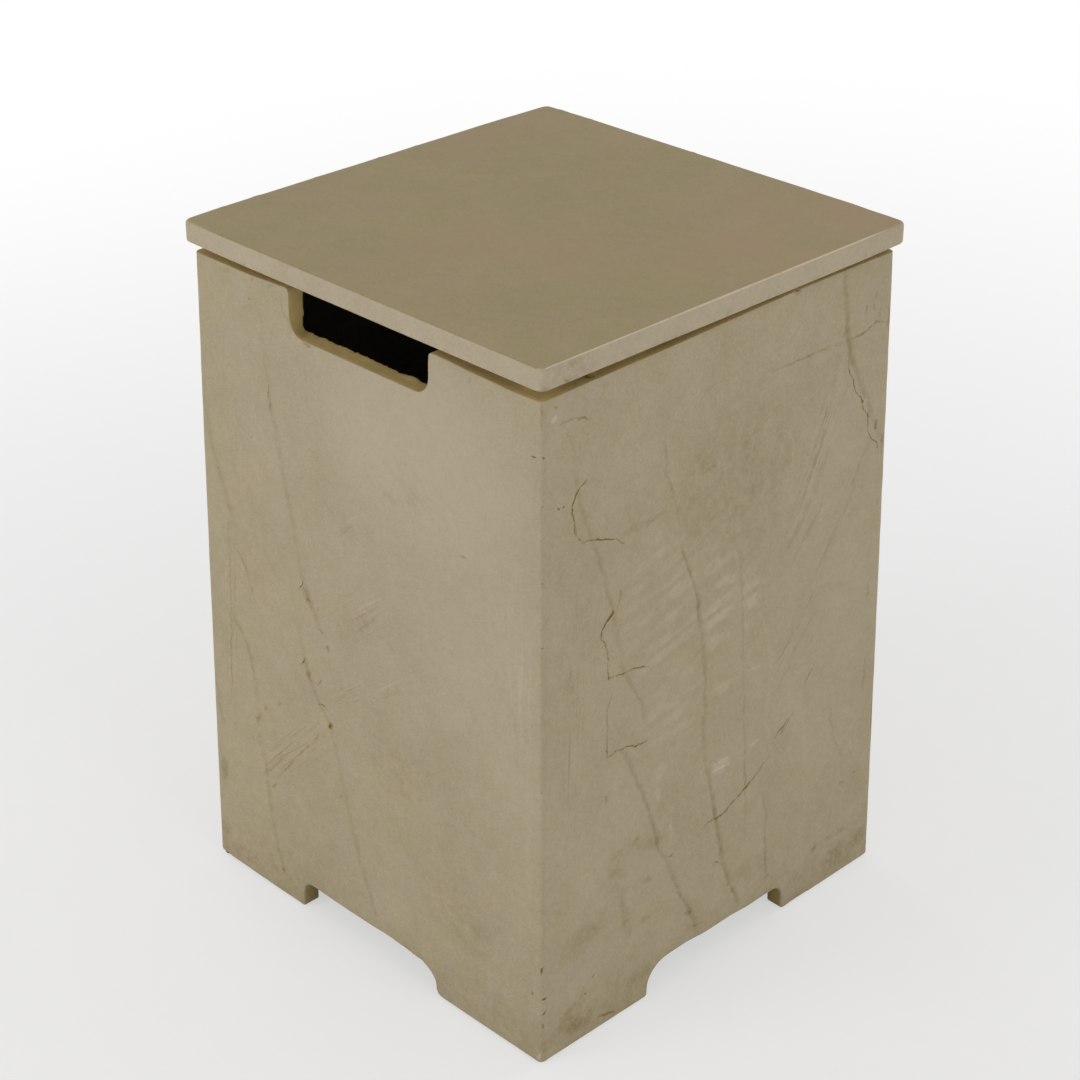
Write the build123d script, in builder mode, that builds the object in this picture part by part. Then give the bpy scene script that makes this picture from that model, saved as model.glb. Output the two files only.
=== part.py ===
"""Propane tank cover table: a cast concrete shell that stands over a 20 lb cylinder, with a
loose slab lid that makes it a side table.

Millimetres, +Z up, origin on the ground under the middle of the cover. The front is -Y.
"""

import math
import os

from build123d import *

# Lid slab
lid_side = 400
lid_thickness = 18
lid_corner_radius = 7
lid_edge_radius = 2.5
lid_overhang = 5.5  # past the rim of the body, on each side

# Cast body
body_height = 572
draft = 1  # degrees that each face leans in towards the rim
wall = 14
outer_corner_radius = 5
inner_corner_radius = 12
rim_edge_radius = 2
foot_edge_radius = 1.5

# Hand-holds: notches in the rim of the front and back walls, closed above by the lid
hand_hold_width = 157
hand_hold_depth = 36
hand_hold_corner_radius = 15
hand_hold_lip_radius = 4

# Arches between the feet, one in each wall. Seen from outside, the larger shoulder is on the
# right in the front and back walls, and on the left in the side walls.
arch_width = 168
arch_height = 25
arch_small_radius = 12
arch_large_radius = 19
toe_radius = 4

# Rubber pads under the feet
foot_pad_height = 2
foot_pad_diameter = 10

# Rubber bumpers that carry the lid on the rim, and leave a gap for air
bumper_height = 8
bumper_diameter = 9
bumper_from_corner = 55  # from the outside of the front or back wall, along the side walls

# Locator blocks under the lid, one inside each corner of the rim
locator_side = 36
locator_height = 24
locator_clearance = 2.5  # to the inner walls, at the rim
locator_lead_in = 3

# Pan-head screws, two through each locator block into the lid
screw_head_diameter = 9
screw_head_height = 3
screw_head_round = 1
screw_socket_width = 3  # across the flats
screw_socket_depth = 1.8
screw_diameter = 5
screw_spacing = 20
screw_bite = 10  # length in the lid
screw_hole_clearance = 0.2  # on the radius
screw_tip_clearance = 1

# Brass inserts cast into the lid, one for each screw
insert_diameter = 8
insert_fit = 0.05  # on the radius


# Places and sizes that follow
body_bottom = foot_pad_height
body_top = body_bottom + body_height
lid_bottom = body_top + bumper_height
locator_bottom = lid_bottom - locator_height
top_side = lid_side - 2 * lid_overhang
bottom_side = top_side + 2 * body_height * math.tan(math.radians(draft))
inner_top_side = top_side - 2 * wall
screw_hole_radius = screw_diameter / 2 + screw_hole_clearance
screw_offset = screw_spacing / 2 / math.sqrt(2)
insert_length = screw_bite + screw_tip_clearance
locator_centre = inner_top_side / 2 - locator_clearance - locator_side / 2
pad_centre = bottom_side / 2 - wall / 2
rim_centre = top_side / 2 - wall / 2

corners = {
    "front_left": (-1, -1),
    "front_right": (1, -1),
    "back_right": (1, 1),
    "back_left": (-1, 1),
}


def is_upright(edge):
    """True for an edge that climbs, such as one between two walls."""
    return abs(edge.tangent_at(0.5).Z) > 0.9


def leaning_block(side, corner_radius):
    """Square block, side wide at the feet, as tall as the body and leaning in by the draft."""
    with BuildPart() as block:
        with BuildSketch(Plane.XY.offset(body_bottom)):
            Rectangle(side, side)
        extrude(amount=body_height, taper=draft)
        fillet(block.edges().filter_by(is_upright), corner_radius)
    return block.part


def opening_face(plane, width, depth, lip_radius, left_radius, right_radius):
    """Outline of an opening that starts at the plane's origin and goes depth along its y.

    The lip radius rounds the two corners that are left standing, and the other radii round
    the far end of the opening.
    """
    half = width / 2
    reach = half + 2 * lip_radius
    with BuildSketch(plane) as opening:
        with BuildLine():
            FilletPolyline(
                (-reach, 0),
                (-half, 0),
                (-half, depth),
                (half, depth),
                (half, 0),
                (reach, 0),
                radius=[lip_radius, left_radius, right_radius, lip_radius],
            )
            Polyline((reach, 0), (reach, -depth), (-reach, -depth), (-reach, 0))
        make_face()
    return opening.sketch


def wall_plane(turn, height, into):
    """Upright plane through the middle that faces a wall: 0 degrees is the front wall.

    Its y is up where into is 1, and down where into is -1.
    """
    angle = math.radians(turn)
    outward = (math.sin(angle), -math.cos(angle), 0)
    along = (into * math.cos(angle), into * math.sin(angle), 0)
    return Plane(origin=(0, 0, height), x_dir=along, z_dir=outward)


def skin(part, lean):
    """Faces of the walls and their upright corners: lean is 1 outside and -1 inside the body."""
    return [face for face in part.faces() if 0.001 < lean * face.normal_at().Z < 0.1]


def border(faces):
    """Edges around a patch of faces, without the seams inside it."""
    edges = [edge for face in faces for edge in face.edges()]
    return ShapeList(
        edge for edge in edges if sum(edge.is_same(other) for other in edges) == 1
    )


def save(part, name):
    """Label a finished piece and write it to its own STEP file."""
    part.label = name
    export_step(part, f"parts/{name}.step")


os.makedirs("parts", exist_ok=True)


# The body: four walls in one casting, open above and below

with BuildPart() as cover_body:
    add(leaning_block(bottom_side, outer_corner_radius))
    add(leaning_block(bottom_side - 2 * wall, inner_corner_radius), mode=Mode.SUBTRACT)
    for turn in (0, 180):
        hand_hold = opening_face(
            wall_plane(turn, body_top, -1),
            hand_hold_width,
            hand_hold_depth,
            hand_hold_lip_radius,
            hand_hold_corner_radius,
            hand_hold_corner_radius,
        )
        extrude(hand_hold, amount=bottom_side, mode=Mode.SUBTRACT)
    for turn in (0, 90, 180, 270):
        in_side_wall = turn in (90, 270)
        arch = opening_face(
            wall_plane(turn, body_bottom, 1),
            arch_width,
            arch_height,
            toe_radius,
            arch_large_radius if in_side_wall else arch_small_radius,
            arch_small_radius if in_side_wall else arch_large_radius,
        )
        extrude(arch, amount=bottom_side, mode=Mode.SUBTRACT)
    middle = body_bottom + body_height / 2
    for lean in (1, -1):
        rim_edges = [e for e in border(skin(cover_body.part, lean)) if e.center().Z > middle]
        fillet(rim_edges, rim_edge_radius)
        foot_edges = [e for e in border(skin(cover_body.part, lean)) if e.center().Z < middle]
        fillet(foot_edges, foot_edge_radius)

save(cover_body.part, "cover_body")


# Rubber pads glued under the corners of the body

for corner, (side_x, side_y) in corners.items():
    with BuildPart() as foot_pad:
        with BuildSketch():
            with Locations((side_x * pad_centre, side_y * pad_centre)):
                Circle(foot_pad_diameter / 2)
        extrude(amount=foot_pad_height)
    save(foot_pad.part, f"foot_pad_{corner}")


# The lid, with blind holes for the inserts

locator_spots = [(x * locator_centre, y * locator_centre) for x, y in corners.values()]
screw_spots = [
    (x * (locator_centre + step), y * (locator_centre - step))
    for x, y in corners.values()
    for step in (-screw_offset, screw_offset)
]

with BuildPart() as lid:
    with BuildSketch(Plane.XY.offset(lid_bottom)):
        RectangleRounded(lid_side, lid_side, lid_corner_radius)
    extrude(amount=lid_thickness)
    top_and_bottom = lid.faces().filter_by(Axis.Z)
    fillet(top_and_bottom.edges(), lid_edge_radius)
    with BuildSketch(Plane.XY.offset(lid_bottom)):
        with Locations(*screw_spots):
            Circle(insert_diameter / 2 + insert_fit)
    extrude(amount=insert_length, mode=Mode.SUBTRACT)

save(lid.part, "lid")


# Inserts, flush with the underside of the lid

with BuildPart() as lid_inserts:
    with BuildSketch(Plane.XY.offset(lid_bottom)):
        with Locations(*screw_spots):
            Circle(insert_diameter / 2)
            Circle(screw_hole_radius, mode=Mode.SUBTRACT)
    extrude(amount=insert_length)

save(lid_inserts.part, "lid_inserts")


# Locator blocks, which keep the lid square on the rim

for number, (corner, (side_x, side_y)) in enumerate(corners.items()):
    spot = locator_spots[number]
    with BuildPart() as locator:
        with BuildSketch(Plane.XY.offset(locator_bottom)):
            with Locations(spot):
                Rectangle(locator_side, locator_side)
        extrude(amount=locator_height)
        outer_upright = locator.edges().filter_by(Axis.Z).sort_by_distance((0, 0, locator_bottom))[-1]
        fillet(outer_upright, inner_corner_radius)
        chamfer(locator.faces().sort_by(Axis.Z)[0].edges(), locator_lead_in)
        with BuildSketch(Plane.XY.offset(locator_bottom)):
            with Locations(*screw_spots[2 * number : 2 * number + 2]):
                Circle(screw_hole_radius)
        extrude(amount=locator_height, mode=Mode.SUBTRACT)
    save(locator.part, f"lid_locator_{corner}")


# Locator screws: a shank up into the lid, and a pan head with a hexagon socket below

with BuildPart() as locator_screws:
    with BuildSketch(Plane.XY.offset(locator_bottom)):
        with Locations(*screw_spots):
            Circle(screw_diameter / 2)
    extrude(amount=locator_height + screw_bite)
    with BuildSketch(Plane.XY.offset(locator_bottom - screw_head_height)):
        with Locations(*screw_spots):
            Circle(screw_head_diameter / 2)
    extrude(amount=screw_head_height)
    fillet(locator_screws.edges().group_by(Axis.Z)[0], screw_head_round)
    with BuildSketch(Plane.XY.offset(locator_bottom - screw_head_height)):
        with Locations(*screw_spots):
            RegularPolygon(screw_socket_width / 2, 6, major_radius=False)
    extrude(amount=screw_socket_depth, mode=Mode.SUBTRACT)

save(locator_screws.part, "locator_screws")


# Bumpers glued under the lid, standing on the rim of the side walls

for corner, (side_x, side_y) in corners.items():
    bumper_spot = (side_x * rim_centre, side_y * (top_side / 2 - bumper_from_corner))
    with BuildPart() as bumper:
        with BuildSketch(Plane.XY.offset(body_top)):
            with Locations(bumper_spot):
                Circle(bumper_diameter / 2)
        extrude(amount=bumper_height)
    save(bumper.part, f"lid_bumper_{corner}")
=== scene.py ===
"""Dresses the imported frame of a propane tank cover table: a cast concrete shell and its loose lid.

Metres, +Z up, origin on the ground under the middle of the cover. The front is -Y.
"""

import math

import bpy
import numpy as np
from bpy.props import FloatProperty, FloatVectorProperty, PointerProperty
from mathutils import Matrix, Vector


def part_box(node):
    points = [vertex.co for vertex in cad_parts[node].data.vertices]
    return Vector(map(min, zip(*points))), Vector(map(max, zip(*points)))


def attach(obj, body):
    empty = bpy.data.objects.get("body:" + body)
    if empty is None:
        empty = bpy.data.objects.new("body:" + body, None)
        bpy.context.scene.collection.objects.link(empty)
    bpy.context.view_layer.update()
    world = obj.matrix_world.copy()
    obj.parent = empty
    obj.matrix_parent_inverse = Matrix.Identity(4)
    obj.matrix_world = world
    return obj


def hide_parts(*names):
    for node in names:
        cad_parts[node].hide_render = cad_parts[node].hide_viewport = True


bl_info = {
    "name": "Tank Cover Table",
    "version": (1, 0, 0),
    "blender": (4, 5, 0),
    "location": "3D View > Sidebar > Tank Cover",
    "description": "Cast concrete cover for a gas cylinder, with a loose slab lid",
    "category": "Add Mesh",
}

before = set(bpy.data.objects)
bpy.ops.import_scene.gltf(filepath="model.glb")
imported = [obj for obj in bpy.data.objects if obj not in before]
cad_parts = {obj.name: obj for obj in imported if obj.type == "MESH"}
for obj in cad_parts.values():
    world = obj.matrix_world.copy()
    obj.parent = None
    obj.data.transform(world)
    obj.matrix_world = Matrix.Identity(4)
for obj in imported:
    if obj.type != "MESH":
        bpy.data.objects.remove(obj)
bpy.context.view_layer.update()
MM = 0.001

CORNERS = ("front_left", "front_right", "back_right", "back_left")
WALLS = ("front", "right", "back", "left")
QUARTER = math.pi / 2

# What the frame says of the casting and the slab
body_low, body_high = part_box("cover_body")
lid_low, lid_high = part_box("lid")


def srgb(red, green, blue):
    """Linear colour of three values from 0 to 255."""
    parts = np.array([red, green, blue]) / 255
    linear = np.where(parts <= 0.04045, parts / 12.92, ((parts + 0.055) / 1.055) ** 2.4)
    return tuple(float(part) for part in linear)


def length(name, description, millimetres):
    """Property for a length."""
    return FloatProperty(
        name=name,
        description=description,
        default=millimetres * MM,
        subtype="DISTANCE",
        unit="LENGTH",
    )


def colour(name, description, *parts):
    """Property for a colour, given as three values from 0 to 255."""
    return FloatVectorProperty(
        name=name,
        description=description,
        default=srgb(*parts),
        subtype="COLOR",
        min=0,
        max=1,
    )


class CastingSizes(bpy.types.PropertyGroup):
    """Sizes of the cast body that the frame's boxes don't tell."""

    draft: FloatProperty(
        name="Draft",
        description="How far each wall leans in towards the rim",
        default=math.radians(1),
        subtype="ANGLE",
        unit="ROTATION",
    )
    wall: length("Wall", "Thickness of the walls at the rim", 14)
    foot_wall: length("Foot wall", "Thickness of the walls at the feet", 16)
    outer_corner: length("Outer corner", "Radius of the upright corners outside", 5)
    inner_corner: length("Inner corner", "Radius of the upright corners inside", 12)
    rim_edge: length("Rim edge", "Radius along the outer edges of the rim", 0.6)
    rim_inside: length("Rim inside", "Radius along the inner edges of the rim", 0.7)
    foot_edge: length("Foot edge", "Radius along the edges of the feet", 1.5)
    foot_wear: length("Foot wear", "Largest radius at the outer corners of the feet", 3.2)
    hold_width: length("Hand-hold width", "Width of the notch in the rim", 157)
    hold_depth: length("Hand-hold depth", "Depth of the notch in the rim", 36)
    hold_corner: length("Hand-hold corner", "Radius of the notch's far corners", 15)
    hold_inner_corner: length(
        "Hand-hold inner corner", "Radius of those corners at the inner face", 4
    )
    hold_lip: length("Hand-hold lip", "Radius where the notch leaves the rim", 4)
    arch_width: length("Arch width", "Distance between the feet of a wall", 168)
    arch_height: length("Arch height", "Height of the opening between the feet", 25)
    arch_small: length("Arch small shoulder", "Radius of each arch's smaller shoulder", 12)
    arch_large: length("Arch large shoulder", "Radius of each arch's larger shoulder", 19)
    toe: length("Toe", "Radius of the feet towards the arch", 4)
    swell: length("Swell", "Unevenness of the walls over a hand's width", 0.5)
    ripple: length("Ripple", "Unevenness of the walls over a finger's width", 0.12)
    chip: length("Chip", "Depth of the largest chips along the edges", 1.3)
    ragged: length("Ragged", "Unevenness of the rim's inner edge", 1.2)


class SlabSizes(bpy.types.PropertyGroup):
    """Sizes of the lid that the frame's boxes don't tell."""

    corner: length("Corner", "Radius of the upright corners", 7)
    edge: length("Edge", "Radius along the edges", 1.3)
    worn_edge: length("Worn edge", "Radius at the corner that is worn most", 4)
    swell: length("Swell", "Unevenness of the faces over a hand's width", 0.25)
    chip: length("Chip", "Depth of the largest nicks along the edges", 0.3)


class Colours(bpy.types.PropertyGroup):
    """Colours of the finishes."""

    wall: colour("Wall", "Cast concrete of the body", 174, 160, 136)
    pale: colour("Pale", "Worn and brushed spots of the body", 198, 184, 161)
    # The stain colour serves the veins, stains and pits, and also the painted shade along the lid's
    # front arris
    stain_and_shade: colour("Stain", "Veins and stains of the body", 108, 88, 16)
    olive: colour("Olive", "Damp tone in the concrete", 162, 151, 110)
    # inside: raw concrete made dark as painted shade for the dim inside of the body
    inside: colour("Inside", "Raw concrete inside the body", 72, 66, 50)
    # rim: lighter and more olive than the wall colour as painted bounce light, for the rim and
    # reveals in shade
    rim: colour("Rim", "Skin of the rim, hand-holds and arches, lightened as painted bounce light", 202, 178, 119)
    # lid: colour of the lid's top, darker than the sides' partly as painted shade and partly a more
    # olive tone
    lid: colour("Lid", "Cast concrete of the lid", 178, 160, 127)
    lid_warm: colour("Lid warm", "Warm patches of the lid", 184, 158, 126)
    lid_damp: colour("Lid damp", "Damp tone in the lid", 171, 158, 115)
    lid_side: colour("Lid side", "Sides of the lid", 182, 168, 146)
    rubber: colour("Rubber", "Foot pads", 58, 49, 30)
    bumper: colour("Bumper", "Bumpers under the lid", 116, 98, 56)
    plastic: colour("Plastic", "Locator blocks", 52, 52, 54)
    steel: colour("Steel", "Locator screws", 176, 176, 172)
    brass: colour("Brass", "Inserts in the lid", 190, 160, 96)


class Studio(bpy.types.PropertyGroup):
    """Camera and light."""

    lens: FloatProperty(name="Lens", description="Focal length in millimetres", default=82.4)
    azimuth: FloatProperty(
        name="Azimuth",
        description="Where the camera stands, from the front towards the right",
        default=math.radians(45.5),
        subtype="ANGLE",
    )
    elevation: FloatProperty(
        name="Elevation",
        description="How far the camera stands above the level of its aim",
        default=math.radians(28.31),
        subtype="ANGLE",
    )
    distance: length("Distance", "From the camera to its aim", 2059)
    ambient: FloatProperty(name="Ambient", description="Light from all around", default=0.5)
    key: FloatProperty(name="Key lamp", description="Watts of the lamp in front", default=27)
    fill: FloatProperty(name="Fill lamp", description="Watts of the lamp on the right", default=16)
    rim: FloatProperty(name="Rear lamps", description="Watts of the lamps behind", default=14)


# ---------------------------------------------------------------- shapes


def smooth(value):
    """0 below 0, 1 above 1, and 3v^2 - 2v^3 between."""
    held = np.clip(value, 0, 1)
    return held * held * (3 - 2 * held)


def noise(points, cell, seed):
    """Noise from -1 to 1: random values on a cubic lattice, blended along each axis by smooth()."""
    size = 64
    lattice = np.random.default_rng(seed).uniform(-1, 1, (size, size, size))
    place = points / cell
    low = np.floor(place).astype(int)
    part = smooth(place - low)
    total = np.zeros(points.shape[:-1])
    for corner in np.ndindex(2, 2, 2):
        weight = np.prod(np.where(corner, part, 1 - part), axis=-1)
        at = (low + corner) % size
        total += weight * lattice[at[..., 0], at[..., 1], at[..., 2]]
    return total


def run(start, end, steps):
    """Even steps from start towards end, without the end."""
    return np.linspace(start, end, steps, endpoint=False)


def circle(steps):
    """Unit circle as points (cos t, sin t, 0), with t in even steps round the z axis."""
    turn = run(0, 2 * math.pi, steps)
    return np.stack([np.cos(turn), np.sin(turn), 0 * turn], axis=-1)


def normals(grid):
    """Unit normals of a grid of points that closes on itself both ways: the cross product of the
    differences along its rows and along its columns."""
    along = np.roll(grid, -1, 1) - np.roll(grid, 1, 1)
    up = np.roll(grid, -1, 0) - np.roll(grid, 1, 0)
    across = np.cross(along, up)
    return across / np.maximum(np.linalg.norm(across, axis=-1, keepdims=True), 1e-12)


def quads(rows, columns, closed):
    """Corner numbers of the faces between rows and columns, which close around the columns, and
    around the rows too if closed."""
    row = np.arange(rows if closed else rows - 1)[:, None]
    column = np.arange(columns)[None, :]
    above = (row + 1) % rows
    beside = (column + 1) % columns
    corners = (
        row * columns + column,
        row * columns + beside,
        above * columns + beside,
        above * columns + column,
    )
    return np.stack(np.broadcast_arrays(*corners), axis=-1).reshape(-1, 4)


def with_poles(rows, columns, ends=2, step=1):
    """Faces between rows and columns, and the fans of triangles from the first row to a pole, and
    from the last row to the next pole if it has two ends. The poles follow the grid's points, and
    a step of -1 turns all faces round."""
    number = np.arange(columns)
    beside = (number + 1) % columns
    last = (rows - 1) * columns
    pole = np.full(columns, rows * columns)
    fans = ((beside, number, pole), (last + number, last + beside, pole + 1))
    parts = [quads(rows, columns, False)]
    parts += [np.stack(fan, axis=-1) for fan in fans[:ends]]
    return [face for part in parts for face in part[:, ::step].tolist()]


def new_piece(name, grid, faces, poles=()):
    """Object at the origin whose mesh has the grid's points and the poles as its vertices, and
    smooth faces."""
    mesh = bpy.data.meshes.new(name)
    vertices = np.concatenate([grid.reshape(-1, 3), np.reshape(poles, (-1, 3))])
    mesh.from_pydata(vertices, [], faces)
    mesh.polygons.foreach_set("use_smooth", np.full(len(mesh.polygons), True))
    mesh.update()
    piece = bpy.data.objects.new(name, mesh)
    bpy.context.scene.collection.objects.link(piece)
    return piece


# ---------------------------------------------------------------- the casting

# Steps of the casting's grid along half a wall, and round a corner
LEVEL, LIP, SIDE, TURN, MIDDLE, CORNER = 20, 5, 10, 8, 34, 9
HALF_WALL = LEVEL + LIP + SIDE + TURN + MIDDLE
# Steps of its section: up the outside, round an edge, across the rim, down the inside
OUTSIDE, EDGE, FLAT, INSIDE = 96, 4, 4, 26

# How far the rim stands above its level: place round the body, in walls from the front's left
# corner, and rise in millimetres. A line of the table is a wall.
RIM_RISE = (
    (0, -0.5), (0.15, -0.4), (0.29, 1.5), (0.72, -0.5), (0.83, -2.0), (0.92, -2.8),
    (1, -2.0), (1.12, -1.4), (1.25, -0.8), (1.75, 2.4), (1.9, 2.1),
    (2, 1.6), (2.3, 0.4), (2.7, 1.2),
    (3, 0.2), (3.3, -1.1), (3.7, 0.8), (4, -0.5),
)
# For each wall: how far its arch's crown stands above its level, as place from the left end to
# the right end and rise in millimetres
CROWN_RISE = (
    ((0, 1.4), (0.36, 0.3), (0.5, 0.3), (0.66, 1.3), (0.9, -1.0), (1, -1.0)),
    ((0, 2.6), (0.26, 3.1), (0.45, 0.9), (0.6, 1.3), (0.75, 0.1), (0.88, 0.7), (1, 0.7)),
    ((0, 0.6), (0.4, -0.4), (0.7, 0.5), (1, -1.0)),
    ((0, -0.6), (0.3, 0.6), (0.6, 0.2), (1, 1.4)),
)
# Radius of the left and the right toe of each wall, as shares of the toe's size
TOES = ((0.5, 1.75), (0.8, 0.8), (1.0, 1.2), (0.9, 1.1))
# How far each wall's arch stands to the right of its middle, in millimetres
ARCH_SHIFT = (-2.5, 1.5, 0, 0)
# How worn the foot is at the right end of each wall
FOOT_WEAR = (0.0, 0.2, 0.6, 1.0)
# How far a large shoulder is stretched along the wall, and the least straight between a shoulder
# and its toe
LONG_TAIL = 1.3
LEAST_STRAIGHT = 1 * MM
# Share of a place round the body that a straight wall takes up: the rest is its corner's
STRAIGHT_SHARE = 0.98
# Share of half a wall that keeps its columns in place inside, where the corner is larger
CALM = 0.75
# Sizes in metres of the noise's cells: of the swell, the ripple, the inner walls, the chips and
# the torn edge inside the rim
SWELL_CELLS = (0.11, 0.045)
RIPPLE_CELL = 0.014
INNER_CELL = 0.03
CHIP_CELLS = (0.006, 0.02)
TORN_CELLS = (0.007, 0.0025)
# Noise at which a chip starts, and how much more makes it whole
CHIP_START = 0.62
CHIP_RANGE = 0.5


def rise_at(points, place):
    """Rise in metres at a place, from a list of places and rises in millimetres: its rises are
    joined by smooth()."""
    places = np.array([point[0] for point in points])
    rises = np.array([point[1] for point in points])
    found = np.clip(np.searchsorted(places, place, side="right") - 1, 0, len(places) - 2)
    part = smooth((place - places[found]) / (places[found + 1] - places[found]))
    return (rises[found] + part * (rises[found + 1] - rises[found])) * MM


def half_opening(reach, width, depth, lip, turn, stretch=1.0):
    """Left half of a wall's edge with an opening, as arrays across, drop and lean.

    It runs level from -reach, round the quarter circle of the lip, straight in, round the quarter
    ellipse of the far corner, which is stretched along the wall, and level to the middle. drop is
    the way into the wall, and lean the angle between that way and the direction into the material.
    """
    half = width / 2
    tail = stretch * turn
    lip_angle = run(0, QUARTER, LIP)
    turn_angle = run(0, QUARTER, TURN)
    across = np.concatenate(
        [
            run(-reach, -half - lip, LEVEL),
            -half - lip + lip * np.sin(lip_angle),
            np.full(SIDE, -half),
            -half + tail * (1 - np.cos(turn_angle)),
            run(-half + tail, 0, MIDDLE),
        ]
    )
    drop = np.concatenate(
        [
            np.zeros(LEVEL),
            lip * (1 - np.cos(lip_angle)),
            run(lip, depth - turn, SIDE),
            depth - turn + turn * np.sin(turn_angle),
            np.full(MIDDLE, depth),
        ]
    )
    lean = np.concatenate(
        [
            np.zeros(LEVEL),
            lip_angle,
            np.full(SIDE, QUARTER),
            np.arctan2(np.cos(turn_angle), stretch * np.sin(turn_angle)),
            np.zeros(MIDDLE),
        ]
    )
    return across, drop, lean


def half_plain(reach, width, lip, turn):
    """Left half of a wall's edge without an opening, with the same steps as half_opening()."""
    marks = (0, LEVEL, LEVEL + LIP + SIDE + TURN, HALF_WALL)
    spread = 2 * lip + turn
    places = (-reach, -width / 2 - spread / 2, -width / 2 + spread, 0)
    across = np.interp(np.arange(HALF_WALL), marks, places)
    return across, 0 * across, 0 * across


def whole(left, right, middle_drop):
    """A wall's edge from its two halves: the right one is mirrored, and the middle put between."""
    across = np.concatenate([left[0], [0], -right[0][::-1]])
    drop = np.concatenate([left[1], [middle_drop], right[1][::-1]])
    lean = np.concatenate([left[2], [0], -right[2][::-1]])
    return across, drop, lean


def with_corner(across, drop, lean):
    """The edge and the corner at its right end, where only the angle round the corner grows."""
    angle = np.linspace(0, QUARTER, CORNER + 1)[1:-1]
    return (
        np.concatenate([across, across[-1] + 0 * angle]),
        np.concatenate([drop, 0 * angle]),
        np.concatenate([lean, 0 * angle]),
        np.concatenate([0 * across, angle]),
    )


def half_side(sizes, height):
    """Half of the body's outer width at a height: it shrinks by the tangent of the draft."""
    return body_high.x - (height - body_low.z) * math.tan(sizes.draft)


def rim_line(sizes, wall, hold_corner):
    """Columns of one wall along the rim, with the hand-hold if it has one."""
    reach = half_side(sizes, body_high.z) - sizes.outer_corner
    if WALLS[wall] in ("front", "back"):
        half = half_opening(
            reach, sizes.hold_width, sizes.hold_depth, sizes.hold_lip, hold_corner
        )
        edge = whole(half, half, sizes.hold_depth)
    else:
        half = half_plain(reach, sizes.arch_width, sizes.hold_lip, sizes.arch_small)
        edge = whole(half, half, 0)
    across, drop, lean, angle = with_corner(*edge)
    straight = (across / reach + 1) / 2
    place = wall + straight * STRAIGHT_SHARE + angle / QUARTER * (1 - STRAIGHT_SHARE)
    fade = 1 - smooth(drop / sizes.hold_depth)
    height = body_high.z - drop + fade * rise_at(RIM_RISE, place)
    return across, height, lean, angle


def foot_line(sizes, wall):
    """Columns of one wall along its feet and over the arch, whose larger shoulder is on the right
    in the front and the back, and on the left in the sides."""
    reach = half_side(sizes, body_low.z) - sizes.outer_corner
    shoulders = ((sizes.arch_small, 1), (sizes.arch_large, LONG_TAIL))
    if WALLS[wall] in ("right", "left"):
        shoulders = shoulders[::-1]
    halves = []
    for share, (shoulder, stretch) in zip(TOES[wall], shoulders):
        toe = share * sizes.toe
        turn = min(shoulder, sizes.arch_height - toe - LEAST_STRAIGHT)
        halves.append(
            half_opening(reach, sizes.arch_width, sizes.arch_height, toe, turn, stretch)
        )
    across, drop, lean, angle = with_corner(*whole(*halves, sizes.arch_height))
    rise = rise_at(CROWN_RISE[wall], across / sizes.arch_width + 0.5)
    height = body_low.z + drop + rise * smooth(drop / sizes.arch_height)
    half = sizes.arch_width / 2
    fade = 1 - smooth((abs(across) - half) / (reach - half))
    across = across + ARCH_SHIFT[wall] * MM * fade
    return across, height, lean, angle


def section_rows():
    """The section of a wall as arrays rise, shift, bite and through, row by row.

    It goes up the outside, over the rim, down the inside and back under the foot. rise is 0 at
    the foot and 1 at the rim. Round an edge of radius r the angle p runs from 0 at the face to 90
    degrees at the rim: shift is 1 - sin p, the share of r that the row lies inside the outline,
    and bite is 1 - cos p, its share of r below the face. through is 0 outside and 1 inside.
    """
    edge = run(0, QUARTER, EDGE)
    flat = run(0, 1, FLAT)
    parts = [
        (run(0, 1, OUTSIDE), np.zeros(OUTSIDE), 0),
        (1, edge, 0),
        (1, np.full(FLAT, QUARTER), flat),
        (1, QUARTER - edge, 1),
        (1 - run(0, 1, INSIDE), np.zeros(INSIDE), 1),
        (0, edge, 1),
        (0, np.full(FLAT, QUARTER), 1 - flat),
        (0, QUARTER - edge, 0),
    ]
    rise, angle, through = (
        np.concatenate([np.broadcast_to(part[i], np.shape(part[1])) for part in parts])
        for i in range(3)
    )
    return rise, 1 - np.sin(angle), 1 - np.cos(angle), through


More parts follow.
